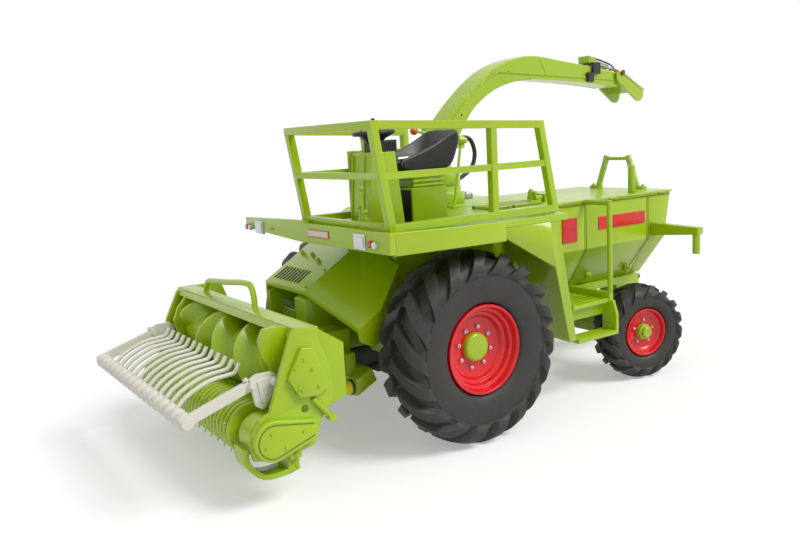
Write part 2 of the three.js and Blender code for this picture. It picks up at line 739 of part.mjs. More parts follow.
const hoseLine = [
  [6.6, 2, 75.6], [8.6, 2.2, 75.9], [12.6, 2.7, 78.2], [17.4, 3, 77.4], [19.4, 3, 72.8], [17.6, 3, 68],
  [12, 2.6, 65], [8.6, 2.2, 64.4], [6.6, 2, 64.4],
];
piece("spout_hose", "black", bentRod(hoseLine.map(([x, y, z]) => [x, y, z - spoutZ]), 0.8, 40, 8), swivel);

// ---------------------------------------------------------------- intake
const cover = { right: -22, fold: 2.6, rear: [12, 52], front: [31, 40.2], thick: 1.2 };
function feederCover() {
  const [x0, z0] = cover.rear;
  const [x1, z1] = cover.front;
  const under = (z) => z - cover.thick;
  const flat = acrossY([[x0, under(z0)], [x1, under(z1)], [x1, z1], [x0, z0]], cover.right, cover.fold);
  const sideFace = [[x0, under(z0)], [x0 + 3, 41], [x1, 27], [x1, under(z1)]];
  const rightSide = acrossY(sideFace, cover.right, cover.right + sheet);
  return join(flat, rightSide, leftWing());
}

// The wing beyond the fold slopes down to the left, as a sheet between its upper and lower faces.
function leftWing() {
  const upper = [
    [cover.rear[0], cover.fold - 0.6, cover.rear[1]],
    [cover.front[0], cover.fold - 0.6, cover.front[1]],
    [28, 24.4, 32.9],
    [21.1, 24.4, 37],
    [12, 20, 46.6],
  ];
  const sheetSolid = slab(upper, [0, 0, -cover.thick]);
  const apron = acrossY(
    [[28, 32.1], [21.1, 36.2], [19, 33], [21, 28.8], [24.3, 27.7], [27.4, 29.4]], 23.4, 24.4);
  return join(sheetSolid, apron);
}
piece("feeder_cover", "green", feederCover());

function feederHousing() {
  const x1 = cover.front[0];
  const inner = cover.right + sheet + gap;
  const body = acrossY(
    [[housing.front, 22], [x1, 22], [x1, 37.4], [housing.front, 49.6]], inner, cover.fold);
  const recess = block(x1 - 9, x1 + 1, inner + 1, -4, 30, 41);
  const teeth = [0, 1, 2, 3, 4, 5, 6].map((i) =>
    block(x1 - 6, x1 - 3, inner + 2.4 + 2 * i, inner + 3.2 + 2 * i, 29, 31.6));
  const neck = block(x1 - 8, x1, cover.fold - 0.1, 11, 20, 30);
  const lugs = [-20, -5, 8].map((y) =>
    block(x1 - 1, header.pivotX, y, y + 2, header.pivotZ - 1.2, header.pivotZ + 1.2));
  const tube = drum(header.pivotX, header.pivotZ, 1.4, -20, 20, 20);
  const cutTop = body.subtract(recess);
  return join(cutTop, ...teeth, neck, ...lugs, tube);
}
piece("feeder_housing", "green", feederHousing());
// The drive's gearbox hangs at a slant from the feeder's neck, with the shaft's guard on its front.
const gearbox = { front: 26.4, inner: 11, outer: 19, hanger: 3 };
const guardStub = { y: 16, z: 15.7, radius: 1.9, length: 2.8 };
piece("drive_gearbox", "green", join(
  acrossY(
    [[gearbox.front, 18.3], [21.6, 20.4], [20.2, 16.9], [gearbox.front, 13.8]],
    gearbox.inner, gearbox.outer,
  ),
  block(gearbox.front - 3, gearbox.front - 0.2, gearbox.inner, gearbox.inner + gearbox.hanger, 17, 24),
));
piece("pto_guard", "yellow", rod(
  [gearbox.front, guardStub.y, guardStub.z],
  [gearbox.front + guardStub.length, guardStub.y, guardStub.z],
  guardStub.radius,
  20,
));

// ---------------------------------------------------------------- pick-up header
const head = pivot(model, header.pivotX, 0, header.pivotZ);
pivots.header = head;
const inHead = (solid) => solid.translate([-header.pivotX, 0, -header.pivotZ]);

function trough() {
  const points = [];
  for (let a = 182; a <= 292; a += 10) {
    const t = THREE.MathUtils.degToRad(a);
    points.push([auger.x + (auger.flight + 1.4) * Math.cos(t), auger.z + (auger.flight + 1.4) * Math.sin(t)]);
  }
  return acrossY(strip(points, 1), -header.endWall, header.endWall);
}

const shoeBottom = 11;
// The casing's back stands upright, then leans forward over the auger to the cap.
const casing = { back: 37, wall: 1.2, foot: 20, bend: 32.8, capRear: 46.8, top: 39.4 };
function headerFrame() {
  const H = header.half;
  const leftEnd = header.endWall + 1;
  const rear = acrossY(
    [
      [casing.back, casing.foot],
      [casing.back + casing.wall, casing.foot],
      [casing.back + casing.wall, casing.bend - 0.4],
      [casing.capRear + 0.5, casing.top - 0.9],
      [casing.capRear, casing.top],
      [casing.back, casing.bend],
    ],
    -H,
    leftEnd,
  );
  const cap = acrossY([[46.8, 38.4], [50.6, 38.4], [51, 36.9], [52, 37.2], [51.6, 39.4], [46.8, 39.4]], -H, H);
  const throat = block(36, 39, -15, -1, 24, casing.bend - 1.2);
  const endFace = [
    [casing.back, casing.foot], [44, 17.6], [50, 17.4], [53.6, 20], [55, 26], [56.1, 31], [54.7, 34.6],
    [52, 37.6], [50.4, 39], [casing.capRear, casing.top], [casing.back, casing.bend],
  ];
  const walls = [[-header.endWall - 1, -header.endWall], [header.endWall, header.endWall + 1]].map(([a, b]) =>
    acrossY(endFace, a, b));
  const rightFace = [
    [38.8, 39.3], [36.9, 34], [30.3, 26.4], [30.7, 22.3], [46, 10.5], [51.1, 10.6], [55.2, 6.8], [64.2, 9.4],
    [65.6, 13.8], [62.9, 18.8], [59.4, 20.8], [56.1, 30.8], [52.4, 38.3], [50.4, 39.3],
  ];
  const leftFace = [
    [47, 39.3], [47, 36.7], [44.4, 30], [44, 25.3], [44.3, 22.3], [47.4, 18.4], [49.6, 13], [58, 11.4],
    [64.2, 13], [65, 17.4], [62, 21.6], [59.7, 22.5], [53.6, 38.6], [52, 39.9],
  ];
  const right = acrossY(rightFace, -H, -H + 1.2);
  const left = acrossY(leftFace, H - 1.2, H);
  const hole = drum(51.4, 21.7, 0.9, H - 2, H + 1, 16);
  const lobeFace = [[49.6, 38.6], [54.8, 28.6], [58, 33.4], [58.6, 37], [57.4, 39.6], [54, 39.8]];
  const lobes = [acrossY(lobeFace, header.endWall + 0.9, header.endWall + 2)];
  const hooks = [-11, 4].map((y) => {
    const ring = drum(header.pivotX, header.pivotZ, 2.7, y, y + 3, 24);
    const arm = block(header.pivotX, 38, y, y + 3, header.pivotZ - 2, header.pivotZ + 2);
    return join(ring, arm).subtract(drum(header.pivotX, header.pivotZ, 1.4 + gap, y - 1, y + 4, 24));
  });
  const bow = bentRod([
    [48.5, -23.6, 39], [48.5, -23.2, 41], [48.5, -21.6, 42.5], [48.5, -18, 43.1], [48.5, -8, 44],
    [48.5, 4, 45.2], [48.5, 7.4, 45], [48.5, 8.8, 43.4], [48.5, 9.4, 39],
  ], 0.8, 40, 8);
  const shoes = [[-H, -H + 6], [H - 6, H]].map(([a, b]) => block(53, 55.8, a, b, shoeBottom, 14.8));
  const body = join(rear, cap, throat, trough(), ...walls, right, left, ...lobes, ...hooks, bow, ...shoes);
  return inHead(body.subtract(hole));
}
piece("header_frame", "green", headerFrame(), head);

// The drive cover wraps the chain from the reel's end back to its sprocket.
function driveCover() {
  const rear = { x: 49.6, low: 15.2, high: 19.4 };
  const end = { radius: 4.5, turn: 1.75 };
  const s = new THREE.Shape();
  s.moveTo(rear.x, rear.low);
  s.lineTo(reel.x + end.radius * Math.cos(end.turn), reel.z - end.radius * Math.sin(end.turn));
  s.absarc(reel.x, reel.z, end.radius, -end.turn, end.turn, false);
  s.lineTo(rear.x, rear.high);
  s.closePath();
  return inHead(acrossY(s, header.half, header.half + 2));
}
piece("header_drive_cover", "green", driveCover(), head);
piece("header_side_cover", "green", inHead(acrossY(
  [[51.8, 35.7], [48.6, 35.3], [45.1, 26.1], [48.3, 24.3], [52.9, 24.7], [55.4, 29.3]],
  header.half, header.half + 1.4)), head);

const augerPivot = pivot(head, auger.x - header.pivotX, 0, auger.z - header.pivotZ);
pivots.auger = augerPivot;
// Its two flights carry the crop from both ends towards the throat.
function augerStations() {
  const half = header.endWall - 0.6;
  const list = [[-half, 0, auger.tube]];
  const run = (y0, y1, from, to) => {
    const steps = Math.ceil(Math.abs(to - from) * 18);
    list.push([y0 - 0.2, from, auger.tube]);
    for (let i = 0; i <= steps; i++)
      list.push([y0 + ((y1 - y0) * i) / steps, from + ((to - from) * i) / steps, auger.flight]);
    list.push([y1 + 0.2, to, auger.tube]);
  };
  run(-half + 0.8, -13, 0, 1.3);
  run(-6, half - 0.8, 1.4, -1.1);
  list.push([half, -1.1, auger.tube]);
  return list;
}
piece("auger", "green", screw(auger.tube, augerStations()), augerPivot);

const reelPivot = pivot(head, reel.x - header.pivotX, 0, reel.z - header.pivotZ);
pivots.pickup_reel = reelPivot;
function pickupReel() {
  const count = 11;
  const half = header.endWall - 0.8;
  const step = (2 * half) / count;
  const profile = [];
  for (let i = 0; i < count; i++) {
    const y = -half + i * step;
    profile.push([reel.radius, y], [reel.radius, y + 0.55 * step]);
    if (i < count - 1) profile.push([reel.core + 1.2, y + 0.55 * step], [reel.core + 1.2, y + step]);
  }
  const rings = turned([[1, -half], ...profile, [1, half - 0.45 * step]], 20);
  return join(rings, drum(0, 0, 1.6, -header.half + 1.5, header.half - 1.5, 16));
}
piece("pickup_reel", "green", pickupReel(), reelPivot);

for (const [name, side] of sides) {
  const line = smooth([[65.2, 15.4], [65, 11.9], [61.6, 8.2], [56.4, 7.8], [53, 8.4]], 14);
  const inner = header.half - 6.8;
  const [a, b] = side > 0 ? [inner, header.half - 1.4] : [-header.half + 1.4, -inner];
  const bow = acrossY(strip(line, 1.2), a, b);
  piece(`skid_${name}`, "green", inHead(join(bow, block(53, 55.8, a, b, 8, shoeBottom))), head);
}

// Crop guard: a roller bar in front with curved tines back to the reel.
const guardPivot = pivot(head, guard.x - header.pivotX, 0, guard.z - header.pivotZ);
pivots.crop_guard = guardPivot;
function cropGuard() {
  const at = ([x, y, z]) => [x - guard.x, y, z - guard.z];
  const barHalf = 34.3;
  const armY = header.endWall + 3;
  const barRod = rod(at([guard.barX, -barHalf, guard.barZ]), at([guard.barX, barHalf, guard.barZ]), 1.5, 16);
  const tines = [];
  for (let i = 0; i < 13; i++) {
    const y = -22 + i * 4;
    tines.push(bentRod([
      [guard.barX, y, guard.barZ], [73, y, 26.6], [68, y, 28.7], [63.6, y, 29.2], [62, y, 29.4],
      [61.2, y, 30.2], [60.6, y, 31.4],
    ].map(at), 0.55, 10, 6));
  }
  const arms = [1, -1].flatMap((s) => [
    squareBar(at([guard.barX, s * (barHalf - 0.9), guard.barZ]), at([61.4, s * armY, 28.2]), 1.2, 2.2),
    acrossY([[62, 29.6], [56.8, 30.4], [55.2, 28.4], [59.2, 22.6], [61, 23.4]].map(([x, z]) =>
      [x - guard.x, z - guard.z]), s * armY - 0.5, s * armY + 0.5),
    drum(0, 0, 1, ...(s > 0 ? [armY - 0.6, armY + 3] : [-armY - 3, -armY + 0.6]), 16),
  ]);
  return join(barRod, ...tines, ...arms);
}
piece("crop_guard", "ivory", cropGuard(), guardPivot);

// ---------------------------------------------------------------- origin
for (const [name, group] of Object.entries(pivots)) group.name = `pivot_${name}`;
const box = new THREE.Box3().setFromObject(model);
const centre = box.getCenter(new THREE.Vector3());
model.position.set(-centre.x, -centre.y, -box.min.z);

export default model;
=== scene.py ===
# Looks of the forage harvester, a 1:32 die-cast model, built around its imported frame.
# Places are in millimetres from the datum: on the ground under the middle of the front axle,
# +X forward, +Y to the machine's left, +Z up. place() turns them into the frame's metres.
import json
import math

import bmesh
import bpy
from mathutils import Matrix, Vector

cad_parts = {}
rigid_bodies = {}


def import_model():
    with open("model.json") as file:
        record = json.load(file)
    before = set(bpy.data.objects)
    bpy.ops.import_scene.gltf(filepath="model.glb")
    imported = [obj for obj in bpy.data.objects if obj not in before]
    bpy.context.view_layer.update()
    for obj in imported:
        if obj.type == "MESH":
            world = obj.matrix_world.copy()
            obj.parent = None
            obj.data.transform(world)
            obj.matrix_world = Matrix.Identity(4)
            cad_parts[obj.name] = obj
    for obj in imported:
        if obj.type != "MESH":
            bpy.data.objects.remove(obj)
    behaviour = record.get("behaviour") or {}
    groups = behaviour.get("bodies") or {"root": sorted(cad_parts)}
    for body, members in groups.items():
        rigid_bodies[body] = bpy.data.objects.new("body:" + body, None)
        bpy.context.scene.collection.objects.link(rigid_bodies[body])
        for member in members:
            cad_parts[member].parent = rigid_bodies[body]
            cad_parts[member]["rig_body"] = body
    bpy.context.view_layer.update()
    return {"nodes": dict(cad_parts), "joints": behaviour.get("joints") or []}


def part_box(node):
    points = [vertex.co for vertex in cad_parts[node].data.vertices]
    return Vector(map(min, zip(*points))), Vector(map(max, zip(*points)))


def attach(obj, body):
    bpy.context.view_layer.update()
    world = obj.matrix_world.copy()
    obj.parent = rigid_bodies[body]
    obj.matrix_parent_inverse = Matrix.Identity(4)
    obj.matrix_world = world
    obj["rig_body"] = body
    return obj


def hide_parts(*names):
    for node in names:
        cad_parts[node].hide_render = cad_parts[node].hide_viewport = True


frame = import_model()

MM = 0.001
DECK = 57.45  # just above the top of the deck and of the hood's lid
SUNK = 0.05  # how far a small piece is let into the one that holds it
JOINTS = {joint["name"]: joint for joint in frame["joints"]}
SIDES = (("left", 1), ("right", -1))


# ---------------- the datum and the bodies' own axes
def joint_place(name):
    """A joint's own point, in the frame's metres."""
    return Vector(JOINTS[name]["pos_m"])


HUBS = [joint_place(f"front_wheel_{side}_spin") for side, _ in SIDES]
DATUM = Vector(((HUBS[0].x + HUBS[1].x) / 2, (HUBS[0].y + HUBS[1].y) / 2, 0))
TO_FRAME = Matrix.Translation(DATUM) @ Matrix.Scale(MM, 4)


def place(x, y, z):
    return DATUM + Vector((x, y, z)) * MM


def in_datum(point):
    return (Vector(point) - DATUM) / MM


def node_box(node):
    """The low and high corners of a CAD node's box, in millimetres from the datum."""
    return [in_datum(corner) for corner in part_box(node)]


def circle(count, offset=0.0):
    """So many angles evenly round a circle, from an offset counted in steps."""
    return [2 * math.pi * (k + offset) / count for k in range(count)]


def span(side, near, far):
    """The low and high ends on Y of what lies between two distances out on one side."""
    return sorted((side * near, side * far))


def spout_axes():
    """Reach along the spout, across it and up, from the swivel's axis at ground level."""
    across = -Vector(JOINTS["spout_lift"]["axis"])
    along = across.cross(Vector((0, 0, 1)))
    foot = in_datum(joint_place("spout_swivel"))
    axes = Matrix((along, across, Vector((0, 0, 1)))).transposed().to_4x4()
    return Matrix.Translation((foot.x, foot.y, 0)) @ axes


SPOUT = spout_axes()


def wheel_axes(name, side):
    """A wheel's own axes: Y along its axle and out of its side of the machine."""
    joint = JOINTS[f"{name}_spin"]
    out = Vector(joint["axis"]) * side
    turn = Matrix.Rotation(math.atan2(-out.x, out.y), 4, "Z")
    return Matrix.Translation(in_datum(joint["pos_m"])) @ turn


# ---------------- mesh helpers, in millimetres
AS_IS = Matrix.Identity(4)


def box(bm, lo, hi, matrix=AS_IS):
    """A block between its low and its high corner."""
    (x0, y0, z0), (x1, y1, z1) = lo, hi
    points = [(x, y, z) for z in (z0, z1) for y in (y0, y1) for x in (x0, x1)]
    verts = [bm.verts.new(matrix @ Vector(p)) for p in points]
    for face in (0, 2, 3, 1), (4, 5, 7, 6), (0, 1, 5, 4), (2, 6, 7, 3), (0, 4, 6, 2), (1, 3, 7, 5):
        bm.faces.new([verts[i] for i in face])


def rings(bm, loops, closed=False, caps=True, matrix=AS_IS):
    """Joins loops of points, each with as many points, into one skin."""
    n = len(loops[0])
    verts = [bm.verts.new(matrix @ Vector(p)) for loop in loops for p in loop]
    last = len(loops) if closed else len(loops) - 1
    for i in range(last):
        a, b = i * n, ((i + 1) % len(loops)) * n
        for k in range(n):
            m = (k + 1) % n
            bm.faces.new((verts[a + k], verts[a + m], verts[b + m], verts[b + k]))
    if caps and not closed:
        bm.faces.new(verts[:n][::-1])
        bm.faces.new(verts[-n:])


def across(direction):
    """Two unit vectors square to a direction."""
    d = Vector(direction).normalized()
    up = Vector((0, 0, 1)) if abs(d.z) < 0.9 else Vector((1, 0, 0))
    u = d.cross(up).normalized()
    return u, d.cross(u)


def cylinder(bm, start, end, radius, sides=24, end_radius=None, matrix=AS_IS):
    """A bar between two points, or a cone where end_radius is given."""
    u, v = across(Vector(end) - Vector(start))
    far = radius if end_radius is None else end_radius
    loops = []
    for centre, r in ((start, radius), (end, far)):
        loops.append([Vector(centre) + u * r * math.cos(t) + v * r * math.sin(t) for t in circle(sides)])
    rings(bm, loops, matrix=matrix)


def pin(bm, x, z, start, end, radius, sides, matrix=AS_IS):
    """A cylinder along Y."""
    cylinder(bm, (x, start, z), (x, end, z), radius, sides, matrix=matrix)


def spline(points, steps):
    """A smooth line through points, with so many steps between each two."""
    line = [Vector(p) for p in points]
    ends = [line[0] * 2 - line[1]] + line + [line[-1] * 2 - line[-2]]
    made = []
    for i in range(1, len(ends) - 2):
        p0, p1, p2, p3 = ends[i - 1 : i + 3]
        for k in range(steps):
            t = k / steps
            a = 2 * p1 + (p2 - p0) * t
            b = (2 * p0 - 5 * p1 + 4 * p2 - p3) * t * t
            c = (3 * p1 - 3 * p2 + p3 - p0) * t**3
            made.append((a + b + c) / 2)
    return made + [line[-1]]


def tube(bm, line, radius, sides=12, matrix=AS_IS):
    """A round tube along a line. radius is a number, or one for each point."""
    line = [Vector(p) for p in line]
    radii = radius if isinstance(radius, (list, tuple)) else [radius] * len(line)
    u, _ = across(line[1] - line[0])
    loops = []
    for i, centre in enumerate(line):
        d = (line[min(i + 1, len(line) - 1)] - line[max(i - 1, 0)]).normalized()
        u = (u - d * u.dot(d)).normalized()
        v = d.cross(u)
        loops.append([centre + (u * math.cos(t) + v * math.sin(t)) * radii[i] for t in circle(sides)])
    rings(bm, loops, matrix=matrix)


NEAR = 0.01  # how near a turned profile comes to its axis


def lathe(bm, profile, sides, matrix=AS_IS):
    """Turns a closed profile of (radius, y) points about the Y axis."""
    loops = [[(r * math.cos(t), y, r * math.sin(t)) for r, y in profile] for t in circle(sides)]
    rings(bm, loops, closed=True, matrix=matrix)


def turned(bm, radius, start, end, sides, matrix=AS_IS):
    """A plain disc or bar about the Y axis between two places on it."""
    lathe(bm, [(NEAR, start), (radius, start), (radius, end), (NEAR, end)], sides, matrix)


def prism(bm, outline, lo, hi, matrix=AS_IS):
    """An outline in X and Z between two places on Y."""
    loops = [[(x, y, z) for x, z in outline] for y in (lo, hi)]
    rings(bm, loops, matrix=matrix)


def hexagon_head(bm, centre, out, radius, height):
    """A hexagon nut or bolt head with a domed end."""
    centre, out = Vector(centre), Vector(out).normalized()
    cylinder(bm, centre, centre + out * height, radius, 6)
    tip = centre + out * height
    cylinder(bm, tip, tip + out * height * 0.5, radius * 0.62, 12, radius * 0.35)


def ball(bm, centre, radius, sides=20):
    made = bmesh.ops.create_uvsphere(bm, u_segments=sides, v_segments=sides // 2, radius=radius)
    bmesh.ops.translate(bm, verts=made["verts"], vec=centre)


# ---------------- pieces
def finish_piece(name, bm, material, body, replaces=(), bevel=0, smooth=35, subdivide=0):
    """A piece modelled here, from a mesh in millimetres."""
    bmesh.ops.remove_doubles(bm, verts=bm.verts, dist=1e-4)
    bmesh.ops.recalc_face_normals(bm, faces=bm.faces)
    bm.transform(TO_FRAME)
    piece = add_object(name, bm, material)
    dress(piece, bevel, smooth, subdivide)
    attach(piece, body)
    if replaces:
        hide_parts(*replaces)


def add_object(name, bm, material):
    """An object with the mesh, which is in the frame's metres by now."""
    mesh = bpy.data.meshes.new(name)
    bm.to_mesh(mesh)
    bm.free()
    piece = bpy.data.objects.new(name, mesh)
    bpy.context.scene.collection.objects.link(piece)
    mesh.materials.append(material)
    return piece


def dress(piece, bevel, smooth, subdivide=0):
    """Rounded edges, and smooth curves between the sharp ones."""
    mesh = piece.data
    mesh.polygons.foreach_set("use_smooth", [True] * len(mesh.polygons))
    if subdivide:
        rounded = piece.modifiers.new("rounded", "SUBSURF")
        rounded.levels = rounded.render_levels = subdivide
        return
    if bevel:
        edge = piece.modifiers.new("edges", "BEVEL")
        edge.width = bevel * MM
        edge.segments = 2
        edge.limit_method = "ANGLE"
        edge.angle_limit = math.radians(smooth)
        edge.harden_normals = True
        edge.use_clamp_overlap = True
    else:
        mesh.set_sharp_from_angle(angle=math.radians(smooth))


def refined(node, material, bevel):
    """A CAD node's own shape with its flats made whole, its edges rounded and its curves smooth."""
    source = frame["nodes"][node]
    bm = bmesh.new()
    bm.from_mesh(source.data)
    bmesh.ops.remove_doubles(bm, verts=bm.verts, dist=2e-6)
    bmesh.ops.dissolve_limit(bm, angle_limit=math.radians(0.6), verts=bm.verts, edges=bm.edges)
    piece = add_object(f"{node}_finish", bm, material)
    dress(piece, bevel, smooth=32)
    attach(piece, source["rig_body"])
    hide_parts(node)


# ---------------- camera
def make_camera():
    """The camera from a target and its distance, with its angles round the target in degrees."""
    target = place(-1.85, 0, 42.17)
    azimuth, elevation, roll = (math.radians(a) for a in (34.084, 9.146, -3.107))
    distance = 231.51 * MM
    level = math.cos(elevation)
    back = Vector((math.sin(azimuth) * level, math.cos(azimuth) * level, math.sin(elevation)))
    right = Vector((0, 0, 1)).cross(back).normalized()
    up = back.cross(right)
    rolled_right = right * math.cos(roll) + up * math.sin(roll)
    rolled_up = up * math.cos(roll) - right * math.sin(roll)
    data = bpy.data.cameras.new("camera")
    data.sensor_width = 36
    data.lens = 35.616
    data.clip_start = 0.01
    data.clip_end = 20
    camera = bpy.data.objects.new("camera", data)
    axes = Matrix((rolled_right, rolled_up, back)).transposed().to_4x4()
    camera.matrix_world = Matrix.Translation(target + back * distance) @ axes
    bpy.context.scene.collection.objects.link(camera)
    bpy.context.scene.camera = camera


# ---------------- materials
def linear(red, green, blue):
    """An sRGB colour of 0 to 255 as a linear colour."""
    def channel(value):
        value /= 255
        return value / 12.92 if value <= 0.04045 else ((value + 0.055) / 1.055) ** 2.4
    return (channel(red), channel(green), channel(blue), 1)


class Nodes:
    """Short ways to add shader nodes to one material."""

    def __init__(self, name, slot):
        self.material = bpy.data.materials.new(name)
        self.material["slot"] = slot
        self.material.use_nodes = True
        self.tree = self.material.node_tree
        self.shader = self.tree.nodes["Principled BSDF"]

    def add(self, kind, **values):
        node = self.tree.nodes.new(kind)
        for key, value in values.items():
            setattr(node, key, value)
        return node

    def join(self, source, target):
        self.tree.links.new(source, target)

    def noise(self, scale, detail=3, roughness=0.55):
        """Noise in object space, with scale in waves per millimetre."""
        where = self.add("ShaderNodeTexCoord")
        node = self.add("ShaderNodeTexNoise")
        node.inputs["Scale"].default_value = scale / MM
        node.inputs["Detail"].default_value = detail
        node.inputs["Roughness"].default_value = roughness
        self.join(where.outputs["Object"], node.inputs["Vector"])
        return node.outputs["Fac"]

    def ranged(self, value, lo, hi, from_lo=0.3, from_hi=0.7):
        node = self.add("ShaderNodeMapRange")
        node.inputs["From Min"].default_value = from_lo
        node.inputs["From Max"].default_value = from_hi
        node.inputs["To Min"].default_value = lo
        node.inputs["To Max"].default_value = hi
        self.join(value, node.inputs["Value"])
        return node.outputs["Result"]

    def mixed(self, factor, first, second):
        node = self.add("ShaderNodeMix", data_type="RGBA")
        self.join(factor, node.inputs["Factor"])
        for colour, name in ((first, "A_Color"), (second, "B_Color")):
            socket = next(s for s in node.inputs if s.identifier == name)
            if isinstance(colour, tuple):
                socket.default_value = colour
            else:
                self.join(colour, socket)
        return next(s for s in node.outputs if s.identifier == "Result_Color")

    def edge_mask(self, radius):
        """1 along sharp edges and 0 on flats, with the rounded normal that found them."""
        rounded = self.add("ShaderNodeBevel", samples=6)
        rounded.inputs["Radius"].default_value = radius * MM
        geometry = self.add("ShaderNodeNewGeometry")
        dot = self.add("ShaderNodeVectorMath", operation="DOT_PRODUCT")
        self.join(rounded.outputs["Normal"], dot.inputs[0])
        self.join(geometry.outputs["Normal"], dot.inputs[1])
        return self.ranged(dot.outputs["Value"], 1, 0, 0.8, 0.99), rounded.outputs["Normal"]

    def bumps(self, height, distance, normal=None, strength=0.5):
        node = self.add("ShaderNodeBump")
        node.inputs["Strength"].default_value = strength
        node.inputs["Distance"].default_value = distance * MM
        self.join(height, node.inputs["Height"])
        if normal is not None:
            self.join(normal, node.inputs["Normal"])
        self.join(node.outputs["Normal"], self.shader.inputs["Normal"])


EDGE_RADIUS = 0.16  # how far from a sharp edge the paint shows as an edge
# How fine the noise is that varies the tone, the gloss, and the edges' rubbing and painted highlight, in
# waves per millimetre.
SLOW = 0.05
UNEVEN = 0.25
PATCHY = 0.6


def shade(colour, share):
    return tuple(c * share for c in colour[:3]) + (1,)


def surface(name, slot, colour, rough, metal=0, mottle=0.93, grain=2.2, depth=0.02, edge_rub_and_highlight=0.25,
            edge_rub_and_highlight_colour=None, coat=0.0):
    """A surface with slow changes of tone, a fine grain, uneven gloss, and edges lighter in patches, partly
    rubbed paint and partly a painted highlight.

    rough is its mean roughness and mottle its darkest tone as a share of colour. grain is in waves
    and depth in height, both by the millimetre, and the edge colour is what its edges lighten to,
    partly rubbed paint and partly a painted highlight.
    """
    n = Nodes(name, slot)
    tone = n.mixed(n.ranged(n.noise(SLOW), 0, 1), shade(colour, mottle), colour)
    edges, rounded = n.edge_mask(EDGE_RADIUS)
    # Sharp edges go lighter in patches: partly rubbed paint, partly a painted highlight.
    amount = n.add("ShaderNodeMath", operation="MULTIPLY")
    n.join(edges, amount.inputs[0])
    n.join(n.ranged(n.noise(PATCHY, 4), 0.2 * edge_rub_and_highlight, edge_rub_and_highlight), amount.inputs[1])
    edge_rub_and_highlight_colour = edge_rub_and_highlight_colour or tuple(min(c * 1.25 + 0.05, 1) for c in colour[:3]) + (1,)
    n.join(n.mixed(amount.outputs["Value"], tone, edge_rub_and_highlight_colour), n.shader.inputs["Base Color"])
    n.join(n.ranged(n.noise(UNEVEN), rough * 0.82, rough * 1.2), n.shader.inputs["Roughness"])
    n.shader.inputs["Metallic"].default_value = metal
    n.shader.inputs["Coat Weight"].default_value = coat
    n.shader.inputs["Coat Roughness"].default_value = 0.12
    n.bumps(n.noise(grain, 2), depth, rounded, 0.35)
    return n.material


GREEN = surface("green_paint", "green_paint", linear(168, 200, 8), 0.34, depth=0.012, coat=0.3)
# Green paint darkened as painted shade, for the dark lines in seams and grooves and under the lid's edge.
SHADE_GREEN = surface("green_shade", "green_paint", linear(104, 124, 8), 0.5)
RED = surface("red_paint", "red_paint", linear(226, 8, 22), 0.3, coat=0.3)
LAMP_RED = surface("lamp_red", "red_paint", linear(206, 28, 24), 0.18, coat=0.6)
RUBBER = surface("tyre_rubber", "tyre", linear(51, 48, 45), 0.56, mottle=0.86, grain=1.6, depth=0.05,
                 edge_rub_and_highlight=0.5, edge_rub_and_highlight_colour=linear(86, 82, 78))
BLACK = surface("black_plastic", "black", linear(25, 25, 25), 0.4, grain=1.8, depth=0.03)
LEATHER = surface("seat_vinyl", "black", linear(27, 26, 25), 0.44, mottle=0.85, grain=1.1, depth=0.06)
PIPING = surface("seat_piping", "silver", linear(112, 112, 98), 0.5)
# A near-black olive as painted shade, for the louvres' openings and the hollows under the lid's gratings.
SLOT_SHADE = surface("slot_painted_shade", "black", linear(22, 24, 12), 0.7)
IVORY = surface("ivory_plastic", "ivory", linear(226, 223, 210), 0.42, mottle=0.95, grain=1.2)
SILVER = surface("silver_metal", "silver", linear(205, 206, 206), 0.26, metal=0.9, edge_rub_and_highlight=0.15)
LENS = surface("lamp_lens", "silver", linear(214, 218, 224), 0.2, metal=0.35, grain=3, depth=0.06,
               coat=0.5)
BRONZE = surface("linkage_bronze", "silver", linear(142, 92, 58), 0.42, metal=0.6, mottle=0.7)
YELLOW = surface("yellow_plastic", "yellow", linear(250, 226, 10), 0.36)
ORANGE = surface("orange_knob", "red_paint", linear(232, 84, 30), 0.3, coat=0.4)


# ---------------- wheels
ROUND = 96  # sides of the largest round pieces


def smooth_profile(points, steps=5):
    return [(p.x, p.y) for p in spline([(r, y, 0) for r, y in points], steps)]


def carcass(bm, tyre, matrix):
    """The tyre without its lugs: crown, shoulders, bulged walls with a fine ring, and beads."""
    outer = smooth_profile(tyre["section"])
    inner = [(r, -y) for r, y in reversed(outer)][:-1]
    bead = tyre["bead"] - 0.1
    bead_y = tyre["section"][-1][1] - 0.6
    lathe(bm, inner + outer + [(bead, bead_y), (bead, -bead_y)], ROUND, matrix)
    cord = 0.16
    for s in (1, -1):
        ring = [(tyre["ring"] + cord * math.cos(a), s * (tyre["ring_y"] + cord * math.sin(a)))
                for a in circle(6)]
        lathe(bm, ring, ROUND, matrix)


def lug_line(tyre):
    """Stations from the crown's middle over the shoulder: radius, place on Y, outward slope and height."""
    side = smooth_profile(tyre["section"][: tyre["lug_points"]], 3)
    stations = []
    for i, (r, y) in enumerate(side):
        before, after = side[max(i - 1, 0)], side[min(i + 1, len(side) - 1)]
        run = Vector((after[0] - before[0], after[1] - before[1])).normalized()
        share = i / (len(side) - 1)
        height = tyre["lug"] * (1 - share**4) + 0.12
        stations.append((r, y, Vector((run.y, -run.x)), height, share))
    return stations


